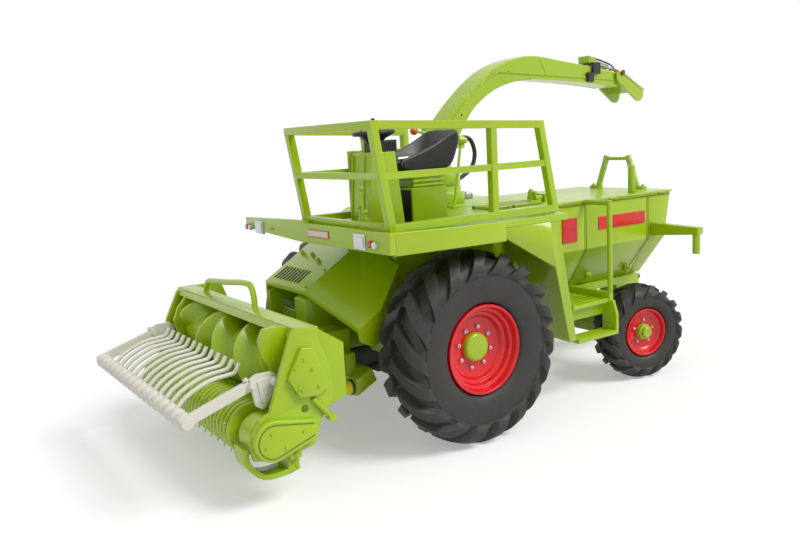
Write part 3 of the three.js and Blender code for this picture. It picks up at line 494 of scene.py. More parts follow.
def lugs(bm, tyre, matrix):
    """Bars swept back from the crown's middle, with those of one side between those of the other."""
    sunk = -0.3
    stations = lug_line(tyre)
    pitch = 2 * math.pi / tyre["count"]
    for side in (1, -1):
        for k in range(tyre["count"]):
            start = pitch * (k + (0.5 if side < 0 else 0))
            loops = []
            for r, y, out, height, share in stations:
                angle = start - math.radians(tyre["sweep"]) * share
                top_half = (tyre["lug_width"] / 2) * (1 + 0.35 * share) / tyre["radius"]
                foot_half = top_half * 1.35
                loop = []
                for half, level in ((-foot_half, sunk), (-top_half, height), (top_half, height),
                                    (foot_half, sunk)):
                    a = angle + half
                    radius, width = r + out.x * level, y + out.y * level + 0.25
                    loop.append((radius * math.cos(a), side * width, radius * math.sin(a)))
                loops.append(loop)
            rings(bm, loops, matrix=matrix)


# Profiles are points of radius and place on Y. sweep is in degrees, and lug is a lug's height.
FRONT_TYRE = {
    "radius": 25, "bead": 12, "count": 18, "sweep": 24, "lug": 1.75, "lug_width": 3.1, "lug_points": 6,
    "ring": 19.3, "ring_y": 7.46,
    "section": [(23.12, 0), (23.1, 2.6), (22.8, 4.7), (22, 6.2), (20.8, 7.1), (19.3, 7.45), (17, 7.6),
                (14.6, 7.4), (12.8, 6.8), (12, 6)],
}
REAR_TYRE = {
    "radius": 14.8, "bead": 7.8, "count": 16, "sweep": 26, "lug": 0.95, "lug_width": 2, "lug_points": 6,
    "ring": 11.6, "ring_y": 4.94,
    "section": [(13.76, 0), (13.74, 1.7), (13.5, 3.1), (13, 4.1), (12.2, 4.7), (11.4, 4.95), (10, 5.05),
                (8.9, 4.8), (8.2, 4.4), (7.8, 3.9)],
}
FRONT_RIM = {
    "dish": [(11.7, 6), (11.6, 6.5), (11.3, 6.62), (10.95, 6.5), (10.6, 5.9), (10.4, 4.9), (9.75, 4.6),
             (9.5, 4), (9.3, 3.5), (8.5, 3.2), (8.2, 2.7), (7.9, 2.2), (7.1, 1.9), (6.4, 1.8), (3, 1.8)],
    "back": [(3, 0.1), (9.2, 0.1), (10.2, -6.6), (11.7, -6.6)],
    "hub": [(0.01, 3.5), (2.8, 3.5), (3.4, 3.35), (3.75, 2.9), (3.8, 1.7), (3.8, 1), (0.01, 1)],
    "nuts": 8, "nut_ring": 5.35, "nut": 0.58, "face": 1.8,
}
REAR_RIM = {
    "dish": [(7.55, 4), (7.45, 4.3), (7.2, 4.4), (6.9, 4.25), (6.6, 3.7), (6.4, 3.1), (5.8, 2.95),
             (5.5, 2.7), (5.2, 2.45), (4.5, 2.3), (2, 2.3)],
    "back": [(2, 0.8), (5.8, 0.8), (6.3, -4.3), (7.55, -4.3)],
    "hub": [(0.01, 5), (1.4, 5), (1.7, 4.7), (1.75, 4), (2.3, 3.8), (2.5, 3.3), (2.5, 1.4), (0.01, 1.4)],
    "nuts": 5, "nut_ring": 3.65, "nut": 0.46, "face": 2.3,
}


def make_wheel(name, side, tyre, rim):
    axes = wheel_axes(name, side)
    out = axes.to_3x3() @ Vector((0, 1, 0))
    end, _, hand = name.split("_")
    bm = bmesh.new()
    carcass(bm, tyre, axes)
    lugs(bm, tyre, axes)
    finish_piece(f"{end}_tyre_tread_{hand}", bm, RUBBER, name, (f"{end}_tyre_{hand}",), smooth=38)
    bm = bmesh.new()
    lathe(bm, rim["dish"] + rim["back"], ROUND, axes)
    finish_piece(f"{end}_rim_dish_{hand}", bm, RED, name, (f"{end}_rim_{hand}",), smooth=28)
    bm = bmesh.new()
    lathe(bm, rim["hub"], 64, axes)
    finish_piece(f"{end}_hub_cap_{hand}", bm, GREEN, name, smooth=40)
    bm = bmesh.new()
    r = rim["nut_ring"]
    for a in circle(rim["nuts"], 0.3):
        foot = axes @ Vector((r * math.cos(a), rim["face"] - 0.1, r * math.sin(a)))
        hexagon_head(bm, foot, out, rim["nut"], 0.7)
    face_radius, face_y = rim["hub"][1]
    r = face_radius * 0.62
    for a in circle(3, 0.4):
        foot = axes @ Vector((r * math.cos(a), face_y - 0.05, r * math.sin(a)))
        cylinder(bm, foot, foot + out * 0.22, 0.16, 10)
    finish_piece(f"{end}_wheel_nuts_{hand}", bm, SILVER, name, smooth=30)


# ---------------- spout
# The duct's outer and inner lines as reach and height on the spout's axes, as in the frame.
DUCT_OUTER = [(-5.4, 77.2), (-4, 79.6), (0.4, 84.3), (8, 91), (17.8, 98), (28.4, 102.7), (42.6, 105.3),
              (61, 103.8), (78.8, 102.1), (94, 100.2)]
DUCT_INNER = [(5, 77.2), (7, 80.6), (13.6, 88), (23.4, 93.6), (33, 96.2), (43.4, 97.2), (59, 96.9),
              (76.7, 96), (94, 94.6)]
DUCT_POINTS = 80  # points along each line
DUCT = {"half_at_foot": 3.8, "half_at_end": 4.7, "reach": 94, "wall": 0.8, "corner": 0.45}


def duct_half(reach):
    """Half the duct's width at a reach."""
    share = reach / DUCT["reach"]
    return DUCT["half_at_foot"] + (DUCT["half_at_end"] - DUCT["half_at_foot"]) * share


def even_line(points, count):
    """So many points at even lengths along the smooth line through points."""
    fine = spline([(a, b, 0) for a, b in points], 24)
    lengths = [0]
    for a, b in zip(fine, fine[1:]):
        lengths.append(lengths[-1] + (b - a).length)
    made = []
    j = 0
    for k in range(count):
        goal = lengths[-1] * k / (count - 1)
        while j < len(fine) - 2 and lengths[j + 1] < goal:
            j += 1
        t = (goal - lengths[j]) / max(lengths[j + 1] - lengths[j], 1e-9)
        made.append(fine[j].lerp(fine[j + 1], t))
    return made


def make_spout():
    """The duct as one skin with cut corners and an open mouth."""
    outer = even_line(DUCT_OUTER, DUCT_POINTS)
    inner = even_line(DUCT_INNER, DUCT_POINTS)
    cut = DUCT["corner"]
    bm = bmesh.new()
    loops = []
    for o, i in zip(outer, inner):
        ho, hi = duct_half(o.x), duct_half(i.x)
        down = (i - o).normalized() * cut
        o_cut, i_cut = o + down, i - down
        loops.append([
            (o.x, -ho + cut, o.y), (o.x, ho - cut, o.y), (o_cut.x, ho, o_cut.y), (i_cut.x, hi, i_cut.y),
            (i.x, hi - cut, i.y), (i.x, -hi + cut, i.y), (i_cut.x, -hi, i_cut.y), (o_cut.x, -ho, o_cut.y),
        ])
    # The skin turns in at the mouth and runs back as the inner wall, to a closed end inside.
    end_loop = loops[-1]
    centre = sum((Vector(p) for p in end_loop), Vector()) / len(end_loop)
    narrowed = [Vector(p) + (centre - Vector(p)).normalized() * DUCT["wall"] * 1.3 for p in end_loop]
    pushed = [p + Vector((-12, 0, 1.3)) for p in narrowed]
    loops += [narrowed, pushed]
    rings(bm, loops, matrix=SPOUT)
    finish_piece("spout_duct_skin", bm, GREEN, "spout", ("spout_duct",), smooth=30)
    make_spout_trim(outer, inner)


def side_rib(bm, line, side, width, proud):
    """A flat rib on one side of the duct, along a line of reach and height."""
    loops = []
    for i, p in enumerate(line):
        run = (line[min(i + 1, len(line) - 1)] - line[max(i - 1, 0)]).normalized()
        square = Vector((-run.y, run.x, 0)) * width / 2
        y0 = side * (duct_half(p.x) - 0.1)
        y1 = side * (duct_half(p.x) + proud)
        a, b = p + square, p - square
        loops.append([(a.x, y0, a.y), (a.x, y1, a.y), (b.x, y1, b.y), (b.x, y0, b.y)])
    rings(bm, loops, matrix=SPOUT)


def make_spout_trim(outer, inner):
    """Folded edges, the long fold, seams, the foot's bracket and the cylinder's bracket.

    Places along the duct are counted in its lines' points, and shares run from outer to inner line.
    """
    bend_at, end_at, lip_from = 27, 78, 36
    bm = bmesh.new()
    for side in (1, -1):
        for share, width in ((0.14, 0.26), (0.24, 0.4)):
            rising = [o.lerp(i, share) for o, i in zip(outer, inner)][2 : bend_at + 1]
            side_rib(bm, rising, side, width, 0.3)
        bend = outer[bend_at].lerp(inner[bend_at], 0.24)
        end = outer[end_at].lerp(inner[end_at], 0.55)
        side_rib(bm, [bend.lerp(end, k / 12) for k in range(13)], side, 0.42, 0.32)
        lip = [o.lerp(i, 0.96) for o, i in zip(outer, inner)][lip_from : end_at + 1]
        side_rib(bm, lip, side, 0.6, 0.3)
    box(bm, (-6.8, -1.2, 77.2), (-2, 1.2, 84.2), SPOUT)
    pin(bm, -6.8, 77, -4.2, 4.2, 0.8, 20, SPOUT)
    box(bm, (-7.2, -4.4, 76.6), (6.4, 4.4, 77.4), SPOUT)
    bracket_half, ear = 2.4, 0.8
    box(bm, (78.4, -bracket_half, 101), (80.2, bracket_half, 106.4), SPOUT)
    for y in (-bracket_half, bracket_half - ear):
        box(bm, (80, y, 101), (83, y + ear, 106), SPOUT)
    seams = (26, 44)
    for k in seams:
        o, i = outer[k], inner[k]
        for side in (1, -1):
            side_rib(bm, [o.lerp(i, 0.12), o.lerp(i, 0.9)], side, 0.16, 0.1)
    finish_piece("spout_folds", bm, GREEN, "spout", bevel=0.08)
    bm = bmesh.new()
    rivets = ((6.8, 85.6), (30, 99.6))
    for u, z in rivets:
        for side in (1, -1):
            y = side * duct_half(u)
            pin(bm, u, z, y - 0.1 * side, y + 0.18 * side, 0.32, 14, SPOUT)
    for side in (1, -1):
        half = duct_half(80) + 0.15
        lo, hi = span(side, half, half + 1)
        box(bm, (76.9, lo, 99.4), (81.4, hi, 103.6), SPOUT)
        box(bm, (73.6, lo, 96.4), (77.2, hi, 99.9), SPOUT)
    box(bm, (77.6, -5.4, 103), (80.4, 5.4, 103.7), SPOUT)
    finish_piece("spout_clip", bm, BLACK, "spout", bevel=0.15)


def make_flap():
    """The flap's roof and two cheeks with round corners, its links and its cylinder."""
    hinge_u, hinge_z = 95.2, 100
    half = 6

    def plate(outline, lo, hi):
        """An outline about the flap's hinge, between two places across the spout."""
        prism(bm, [(hinge_u + a, hinge_z + b) for a, b in outline], lo, hi, SPOUT)

    bm = bmesh.new()
    plate([(0.2, 0.4), (15.2, -6.4), (14.8, -7.4), (0.2, -0.8)], -half, half)
    corner = [(14.9, -8.6), (14, -10.2), (12.6, -11), (10.8, -11), (9.4, -10.4)]
    for s in (1, -1):
        plate([(-3.2, -2.8), (-3.4, 0.4), (0.2, 0.5), (15.2, -6.4)] + corner, *span(s, half - 0.9, half))
    plate([(5.4, -2.6), (9.6, -4.4), (8.4, 0.6), (6.8, 0.6)], -0.9, 0.9)
    finish_piece("flap_sheet", bm, GREEN, "spout_flap", ("spout_flap",), bevel=0.12)
    bm = bmesh.new()
    pin_u, pin_z = hinge_u + 7.6, hinge_z - 0.6
    for s in (1, -1):
        y = s * (half + 0.1)
        pin(bm, hinge_u, hinge_z, y, y + 0.7 * s, 1, 18, SPOUT)
        y = s * 1.5
        pin(bm, pin_u, pin_z, y - 0.35, y + 0.35, 0.8, 16, SPOUT)
        plate([(1.6, 0.6), (8, -1.6), (8.2, -0.2), (2, 1.9)], *span(s, 1.1, 1.7))
    finish_piece("flap_links", bm, BRONZE, "spout_flap", bevel=0.08)
    bm = bmesh.new()
    barrel, gland, eye = (80.6, 0, 105.2), (92.4, 0, 102.9), (101.2, 0, 101.15)
    cylinder(bm, barrel, gland, 1.25, 32, matrix=SPOUT)
    cylinder(bm, (80.2, 0, 105.3), (81.4, 0, 105.05), 1.45, 32, matrix=SPOUT)
    cylinder(bm, (91.6, 0, 103.05), (92.9, 0, 102.8), 1.5, 32, matrix=SPOUT)
    cylinder(bm, gland, eye, 0.5, 20, matrix=SPOUT)
    pin(bm, 101.2, 101.1, -0.5, 0.5, 0.8, 20, SPOUT)
    finish_piece("flap_cylinder_body", bm, SILVER, "spout", ("flap_cylinder",), bevel=0.06)
    bm = bmesh.new()
    line = spline([(81.6, -1.9, 105.6), (86, -2.2, 104.9), (92, -2.2, 103.6), (95, -2.4, 102)], 6)
    tube(bm, line, 0.3, 10, SPOUT)
    finish_piece("flap_cylinder_pipe", bm, BLACK, "spout")


def make_hose():
    """The hydraulic hose in its loop, with a hexagon nut at each end."""
    bm = bmesh.new()
    route = [(6.3, 2, 75.6), (8.6, 2.2, 75.9), (12.6, 2.7, 78.2), (17.4, 3, 77.4), (19.4, 3, 72.8),
             (17.6, 3, 68), (12, 2.6, 65), (8.6, 2.2, 64.4), (6.1, 2, 64.4)]
    tube(bm, spline(route, 10), 0.75, 14, SPOUT)
    for reach, y, z in (route[0], route[-1]):
        cylinder(bm, (reach, y, z), (reach + 1.2, y, z), 1.05, 6, matrix=SPOUT)
    finish_piece("spout_hose_rubber", bm, BLACK, "turret", ("spout_hose",))


# ---------------- operator's place
def make_seat():
    """A bucket seat: a cushion and back between raised sides, over a rounded outer shell."""
    middle, half = 18, 6.5
    # Lines from the front edge to the top of the back, as X and Z.
    cushion = [(12.5, 72.4), (11, 73), (7, 73), (2.4, 72.9), (-0.6, 73.5), (-2.4, 75.2), (-4, 78),
               (-5.8, 80.7)]
    rim = [(12.5, 72.9), (11.6, 74), (8.2, 75), (4.2, 76.3), (0.6, 77.8), (-2.4, 79.4), (-4.6, 80.4),
           (-6.2, 81)]
    shell = [(12.6, 71.6), (11, 70.6), (7, 70.1), (2.4, 70.1), (-2.4, 70.3), (-4.6, 71.6), (-6, 76),
             (-7.4, 80.6)]
    bm = bmesh.new()
    loops = []
    for (cx, cz), (rx, rz), (sx, sz) in zip(cushion, rim, shell):
        side = [(half - 0.1, sx, sz + 0.3), (half, (sx + rx) / 2, (sz + rz) / 2), (half - 0.1, rx, rz - 0.2),
                (half - 0.7, rx, rz), (half - 1.3, (rx + cx) / 2, rz * 0.6 + cz * 0.4),
                (half - 2.6, cx, cz + 0.35), (half * 0.3, cx, cz)]
        loop = [(x, middle + y, z) for y, x, z in side]
        loop += [(x, middle - y, z) for y, x, z in reversed(side)]
        loop += [(sx, middle - half * 0.7, sz), (sx, middle + half * 0.7, sz)]
        loops.append(loop)
    rings(bm, loops)
    finish_piece("seat_bucket_skin", bm, LEATHER, "body", ("seat",), subdivide=2)
    bm = bmesh.new()
    for s in (1, -1):
        line = [(x, middle + s * (half - 0.15), z - 0.5) for x, z in rim]
        tube(bm, spline(line, 8), 0.11, 8)
    finish_piece("seat_piping_cord", bm, PIPING, "body")
    bm = bmesh.new()
    cylinder(bm, (8.4, 22.2, 74), (12.2, 22.2, 73.9), 0.55, 20)
    finish_piece("seat_handle", bm, SILVER, "body", bevel=0.2)
    bm = bmesh.new()
    fold, pitch = 0.75, 1.15
    for k in range(3):
        z = 66.5 + pitch * k
        box(bm, (-1.8, 12.6, z), (8.4, 23.4, z + fold))
    box(bm, (-1, 13.2, 66.3), (7.8, 22.8, 69.9))
    finish_piece("seat_bellows", bm, GREEN, "body", bevel=0.3)


def make_steering_wheel():
    """A round rim with three spokes that drop to the hub."""
    low, high = node_box("steering_wheel")
    grip = 0.6
    radius = (high.y - low.y) / 2 - grip
    tilt = Matrix.Translation((low + high) / 2) @ Matrix.Rotation(math.radians(2), 4, "Y")
    bm = bmesh.new()
    loops = []
    for a in circle(64):
        spoke = Vector((math.cos(a), math.sin(a), 0))
        loops.append([spoke * (radius + grip * math.cos(b)) + Vector((0, 0, grip * math.sin(b)))
                      for b in circle(12)])
    rings(bm, loops, closed=True, matrix=tilt)
    for a in circle(3):
        rim_end = Vector((math.cos(a + 0.4), math.sin(a + 0.4), 0)) * radius
        bend, foot = rim_end * 0.7 + Vector((0, 0, -0.7)), rim_end * 0.15 + Vector((0, 0, -1.1))
        line = spline([rim_end, bend, foot], 5)
        tube(bm, line, [0.42 + 0.04 * i for i in range(len(line))], 10, tilt)
    cylinder(bm, (0, 0, -1.6), (0, 0, -0.2), 1.5, 28, 1.1, tilt)
    finish_piece("steering_wheel_rim", bm, BLACK, "body", ("steering_wheel",), smooth=40)


def make_platform_details():
    """The instrument box with its ribs, pads, a black sheet of painted shade on the seat base's front, the
    wheel's boot, foot levers and lever knobs.
    """
    bm = bmesh.new()
    box(bm, (13.3, 15.2, 75.9), (17.6, 23.9, 78.9))
    ribs, pitch, width = 6, 0.6, 0.3
    for k in range(ribs):
        x = 13.7 + pitch * k
        box(bm, (x, 23.8, 76.5), (x + width, 24.1, 78.4))
    box(bm, (3, 0.9, 74.9), (12.8, 4.8, 75.5))
    # A black sheet on the seat base's front face: painted shade in the dark gap between console and seat.
    box(bm, (10.02, 12.6, 57.5), (10.3, 24.4, 65.9))
    box(bm, (12.6, 6.4, DECK - 0.03), (27, 35.6, DECK + 0.17))
    finish_piece("instrument_box", bm, BLACK, "body", bevel=0.12)
    bm = bmesh.new()
    cylinder(bm, (17.3, 19.6, 77.6), (17.3, 19.6, 80.6), 1.3, 32, 4.3)
    cylinder(bm, (29.6, 38.8, 83), (29.6, 38.8, 83.8), 0.45, 20)
    finish_piece("steering_boot", bm, BLACK, "body", bevel=0.08)
    bm = bmesh.new()
    for y, top in ((22, 63), (23.4, 67.4), (24.8, 61.8)):
        cylinder(bm, (23.8, y, DECK + SUNK), (24.2, y, top), 0.3, 12)
        ball(bm, (24.2, y, top), 0.62)
        pin(bm, 23.8, 59.6, y - 0.5, y + 0.5, 0.9, 16)
    box(bm, (22.2, 21, DECK), (25.2, 25.8, 58.9))
    for y in (15.5, 21):
        tube(bm, [(22.7, y, 58), (21.2, y, 75.4)], 0.3, 10)
    finish_piece("foot_levers", bm, GREEN, "body", bevel=0.1)
    bm = bmesh.new()
    ball(bm, (6, 3, 80), 0.95)
    ball(bm, (10.5, 3, 80.9), 0.95)
    finish_piece("lever_knobs", bm, BLACK, "body")
    make_crank()


def make_crank():
    """The hand crank that swings the spout, on its post behind the seat."""
    bm = bmesh.new()
    cylinder(bm, (-22.8, 0, DECK + SUNK), (-26.4, 0, 76.4), 0.42, 16)
    cylinder(bm, (-27.4, 0.2, 77.5), (-25.4, -0.2, 77.7), 1.35, 28)
    cylinder(bm, (-28.2, 0.3, 77.5), (-27.4, 0.2, 77.5), 0.9, 20)
    cylinder(bm, (-25.4, -0.2, 77.8), (-11.6, -1.9, 80.9), 0.45, 16)
    box(bm, (-24, -1.3, DECK), (-21.6, 1.3, 58.1))
    ring = 1.1
    for t in circle(5):
        nut = (-25.3, ring * math.cos(t) - 0.1, 77.65 + ring * math.sin(t))
        hexagon_head(bm, nut, (1, 0, 0), 0.3, 0.25)
    finish_piece("swivel_crank", bm, GREEN, "body", bevel=0.08)
    bm = bmesh.new()
    ball(bm, (-10.7, -2, 81), 1.2, 28)
    finish_piece("swivel_crank_knob", bm, ORANGE, "body")


# ---------------- lamps, plates and latches
def make_lamps():
    """Lamps on the beam, the lamp arm and the frame's ends, and the bare plate on the beam."""
    front = node_box("front_beam")[1].x
    foot, top, border = 53.6, 57.4, 0.5
    frames, lenses = bmesh.new(), bmesh.new()
    for right, left in ((27.9, 33), (-28.2, -23.4)):
        box(frames, (front - 0.4, right, foot), (front + 0.5, left, top))
        box(lenses, (front + 0.45, right + border, foot + border),
            (front + 0.75, left - border, top - border))
    finish_piece("headlamp_frames", frames, SILVER, "body", bevel=0.12)
    finish_piece("headlamp_lenses", lenses, LENS, "body", bevel=0.06)
    reds, whites = bmesh.new(), bmesh.new()
    for y in (36.3, -32.8):
        for lamp, centre, z in ((reds, y - 0.9, 55.3), (whites, y + 1.1, 55.2)):
            cylinder(lamp, (front - 0.1, centre, z), (front + 1, centre, z), 0.85, 24)
    arm_low, arm_high = node_box("lamp_arm_right")
    x, y, z = (arm_low.x + arm_high.x) / 2, arm_low.y + 1.4, 41.6
    cylinder(reds, (x - 1.6, y, z), (x + 0.2, y, z), 1.15, 28)
    rail_low, rail_high = node_box("chassis_frame")
    z = 28.2
    for s in (1, -1):
        y = s * (rail_high.y - 0.7)
        cylinder(reds, (rail_low.x - 0.5, y, z), (rail_low.x + 0.2, y, z), 0.95, 24)
    finish_piece("lamps_red", reds, LAMP_RED, "body", bevel=0.15)
    finish_piece("lamps_white", whites, LENS, "body", bevel=0.15)
    for name, material, back, edge in (("beam_plate_border", RED, -0.1, 0), ("beam_plate", IVORY, 0, 0.3)):
        bm = bmesh.new()
        box(bm, (front + back, 4.3 + edge, 54.9 + edge), (front + back + 0.3, 15.4 - edge, 57 - edge))
        finish_piece(name, bm, material, "body", bevel=0.06)


def make_hood_details():
    """Blank plates, seams and the lid's edge drawn in painted shade, latches, hinges, the valve, and
    gratings on the lid over painted shade.
    """
    half = node_box("hood_middle")[1].y
    bm = bmesh.new()
    for s in (1, -1):
        lo, hi = span(s, half - SUNK, half + 0.28)
        box(bm, (-85.6, lo, 47.6), (-63.4, hi, 51.6))
    for lo, hi in ((half - SUNK, half + 0.28), (-40.28, -39.95)):
        box(bm, (-53.8, lo, 45), (-47.4, hi, 52.4))
    finish_piece("hood_plates", bm, RED, "body", bevel=0.1)
    # Painted shade: a dark strip under the lid's edge and dark lines down the seams.
    bm = bmesh.new()
    for s in (1, -1):
        lo, hi = span(s, half - SUNK, half + 0.22)
        box(bm, (-98.6, lo, 56), (-28.4, hi, 56.35))
        for top, foot in ((-57.9, -57.9), (-87.4, -85)):
            for lead in (-0.12, 0.62):
                upper, fold = (top + lead, s * half, 56), (top + lead, s * half, 42.2)
                tube(bm, [upper, fold, (foot + lead, s * 12.5, 29.6)], 0.09, 8)
    finish_piece("hood_seams", bm, SHADE_GREEN, "body")
    bm = bmesh.new()
    for s in (1, -1):
        lo, hi = span(s, 14.4, 15.6)
        for x in (-64.4, -83):
            box(bm, (x - 1, lo, 31.4), (x + 1, hi, 33.4))
            hexagon_head(bm, (x, s * 15.4, 32.6), (0, s * 0.84, -0.54), 0.6, 0.8)
        y = s * (half + 0.1)
        for x in (-46, -70, -94):
            cylinder(bm, (x - 1.4, y, 56.9), (x + 1.4, y, 56.9), 0.42, 14)
    finish_piece("hood_latches", bm, GREEN, "body", bevel=0.1)
    bm = bmesh.new()
    x, y = -44.2, 11.2
    box(bm, (x - 2.2, y - 2.2, DECK), (x + 2.2, y + 2.2, 58.4))
    cylinder(bm, (x, y, 58.3), (x, y, 61), 1, 20)
    cylinder(bm, (x, y, 60.2), (x, y + 2.4, 60.6), 0.6, 16)
    hexagon_head(bm, (x, y, 60.9), (0, 0, 1), 0.8, 0.6)
    box(bm, (-48.2, 8.4, DECK), (-47.2, 14.2, 60))
    for y in (10, 12.6):
        cylinder(bm, (-47, y, 58.9), (-44.4, y, 58.9), 0.8, 18)
    edging, bar = 0.8, 0.5
    shades = bmesh.new()
    for x0, x1, y0, y1 in ((-41.6, -30.4, 6, 18.6), (-29.6, -23.4, 8, 18.6)):
        for edge in (y0, y1 - edging):
            box(bm, (x0, edge, DECK), (x1, edge + edging, 58.3))
        count = round((x1 - x0) / 1.15)
        for k in range(count + 1):
            x = x0 + k * (x1 - x0 - bar) / count
            box(bm, (x, y0, DECK), (x + bar, y1, 58.2))
        box(shades, (x0 + 0.3, y0 + 0.3, DECK), (x1 - 0.3, y1 - 0.3, 57.6))
    finish_piece("hood_valve", bm, GREEN, "body", bevel=0.06)
    finish_piece("hood_grating_shade", shades, SLOT_SHADE, "body")


def make_bolts():
    """Screw heads on the beam and nuts on the feet of the spout's rest."""
    front = node_box("front_beam")[1].x
    bm = bmesh.new()
    for y in (-18.4, -16.9):
        hexagon_head(bm, (front, y, 55.6), (1, 0, 0), 0.36, 0.25)
    for y in (-11, 11):
        hexagon_head(bm, (-97, y, 58), (0, 0, 1), 0.55, 0.9)
    finish_piece("body_bolts", bm, GREEN, "body")


def make_radiator_bars():
    """The mesh in the radiator's frame, with level bars on the black box below it."""
    low, high = node_box("radiator_screen")
    half = high.y
    ledge = 42
    wire = 0.1
    upright, level, slats = 18, 10, 7
    bm = bmesh.new()
    for k in range(upright + 1):
        y = -half + 0.6 + k * (2 * half - 1.2) / upright
        box(bm, (low.x + 2.2, y - wire, ledge + 0.4), (low.x + 2.8, y + wire, high.z - 0.4))
    for k in range(level + 1):
        z = ledge + 0.8 + k * (high.z - ledge - 1.6) / level
        box(bm, (low.x + 2.15, -half + 0.4, z - wire), (low.x + 2.7, half - 0.4, z + wire))
    for k in range(slats):
        z = low.z + 1.4 + 1.4 * k
        box(bm, (low.x - 0.18, -half + 1.5, z), (low.x + 0.2, half - 1.5, z + 0.5))
    finish_piece("radiator_bars", bm, BLACK, "body")


def make_tank_details():
    """Door seams drawn in painted shade and screws on the tank's side, and a ribbed rim round the filler
    cap.
    """
    low, _ = node_box("fuel_tank")
    side = low.y
    rear, front, foot, top = low.x + 1.4, -32, 24, 54.4
    # The door's seams are thin dark lines of painted shade.
    bm = bmesh.new()
    for z in (foot, top):
        tube(bm, [(rear, side, z), (front, side, z)], 0.12, 8)
    for x in (rear, front):
        tube(bm, [(x, side, foot), (x, side, top)], 0.12, 8)
    finish_piece("tank_seams", bm, SHADE_GREEN, "body")
    bm = bmesh.new()
    for x in (low.x + 2.6, -44, -33.2):
        for z in (25.4, 53):
            pin(bm, x, z, side + SUNK, side - 0.2, 0.4, 14)
    finish_piece("tank_screws", bm, GREEN, "body")
    cap_low, cap_high = node_box("filler_cap")
    centre = (cap_low + cap_high) / 2
    top = cap_high.z - 0.1
    bm = bmesh.new()
    cylinder(bm, (centre.x, centre.y, top), (centre.x, centre.y, top + 0.6), 1.5, 28, 1.2)
    ring = 2.2
    for a in circle(16):
        x, y = centre.x + ring * math.cos(a), centre.y + ring * math.sin(a)
        cylinder(bm, (x, y, cap_low.z + 0.2), (x, y, top), 0.22, 8)
    finish_piece("filler_cap_ribs", bm, SILVER, "body")


def make_shaft_guard():
    """The yellow bell over the drive shaft's end, with a black boot behind it."""
    low, high = node_box("pto_guard")
    centre = (low + high) / 2
    radius = (high.z - low.z) / 2
    length = high.x - low.x
    here = Matrix.Translation((low.x, centre.y, centre.z)) @ Matrix.Rotation(math.radians(-90), 4, "Z")
    dome = [(radius * math.cos(a), length - radius + radius * math.sin(a)) for a in circle(40)[:10]]
    bm = bmesh.new()
    lathe(bm, [(NEAR, 0.2), (radius, 0.2)] + dome + [(NEAR, length)], 48, here)
    finish_piece("shaft_guard_bell", bm, YELLOW, "body", ("pto_guard",))
    bm = bmesh.new()
    turned(bm, radius + 0.25, 0, 0.5, 48, here)
    finish_piece("shaft_guard_boot", bm, BLACK, "body", bevel=0.08)


# ---------------- intake and header
def make_intake_details():
    """Louvres, screws and knobs on the sloping cover, and the comb in the mouth below it."""
    rear, front = Vector((12, 0, 52)), Vector((31, 0, 40.2))
    run = (front - rear).normalized()
    lift = Vector((-run.z, 0, run.x))
    louvre = {"count": 9, "pitch": 1.75, "width": 0.85, "start": 15.2, "end": 20.4, "thick": 0.06}
    # The louvres are thin dark slabs: painted shade in their openings.
    bm = bmesh.new()
    start, end = (rear + run * louvre[key] + lift * 0.02 for key in ("start", "end"))
    for k in range(louvre["count"]):
        y = -19.4 + louvre["pitch"] * k
        corners = [foot + Vector((0, y + aside, 0)) for foot, aside in
                   ((start, 0), (end, 0), (end, louvre["width"]), (start, louvre["width"]))]
        rings(bm, [corners, [c + lift * louvre["thick"] for c in corners]])
    finish_piece("feeder_louvres", bm, SLOT_SHADE, "body")
    bm = bmesh.new()
    teeth, pitch = 15, 0.95
    for k in range(teeth):
        y = -19.8 + pitch * k
        cylinder(bm, (26.4, y, 31.4), (27.2, y, 34.6), 0.2, 8)
    pin(bm, 26.4, 31.6, -20.4, -5.2, 0.42, 12)
    finish_piece("feeder_comb", bm, SILVER, "body")
    bm = bmesh.new()
    for share, y in ((0.42, -18), (0.5, -6), (0.42, -12)):
        foot = rear.lerp(front, share) + Vector((0, y, 0))
        cylinder(bm, foot, foot + lift * 1.3, 0.7, 18, 0.55)
    for share in (0.2, 0.62, 0.94):
        foot = rear.lerp(front, share) + Vector((0, 1.3, 0))
        hexagon_head(bm, foot, lift, 0.45, 0.35)
    finish_piece("feeder_knobs", bm, GREEN, "body", bevel=0.08)


def make_auger():
    """A tube with two thin flights that carry the crop to the throat."""
    axis = in_datum(joint_place("auger_spin"))
    low, high = node_box("auger")
    radius = (high.z - low.z) / 2
    half = (high.y - low.y) / 2 - 0.1
    here = Matrix.Translation((axis.x, 0, axis.z))
    meet, margin = -6, 0.9  # where the flights meet on Y, and how far they end from the tube's ends
    steps_a_turn, taper = 48, 14
    bm = bmesh.new()
    turned(bm, 4.55, -half, half, 64, here)
    for y0, y1, from_turn, to_turn in ((-half + margin, meet, 0, 1.3), (meet, half - margin, 1.4, -1.1)):
        steps = round(abs(to_turn - from_turn) * steps_a_turn)
        loops = []
        for k in range(steps + 1):
            share = k / steps
            y = y0 + (y1 - y0) * share
            a = 2 * math.pi * (from_turn + (to_turn - from_turn) * share + 0.035)
            grow = min(1, share * taper, (1 - share) * taper)
            edge = 4.6 + (radius - 4.65) * math.sin(grow * math.pi / 2)
            flank = ((4.2, 3.2), ((4.4 + edge) / 2, 1.5), (edge - 0.3, 0.6), (edge, 0.45))
            section = [(r, -dy) for r, dy in flank] + list(reversed(flank))
            loops.append([(r * math.cos(a), max(-half, min(half, y + dy * grow)), r * math.sin(a))
                          for r, dy in section])
        rings(bm, loops, matrix=here)
    finish_piece("auger_flights", bm, GREEN, "auger", ("auger",), smooth=40)


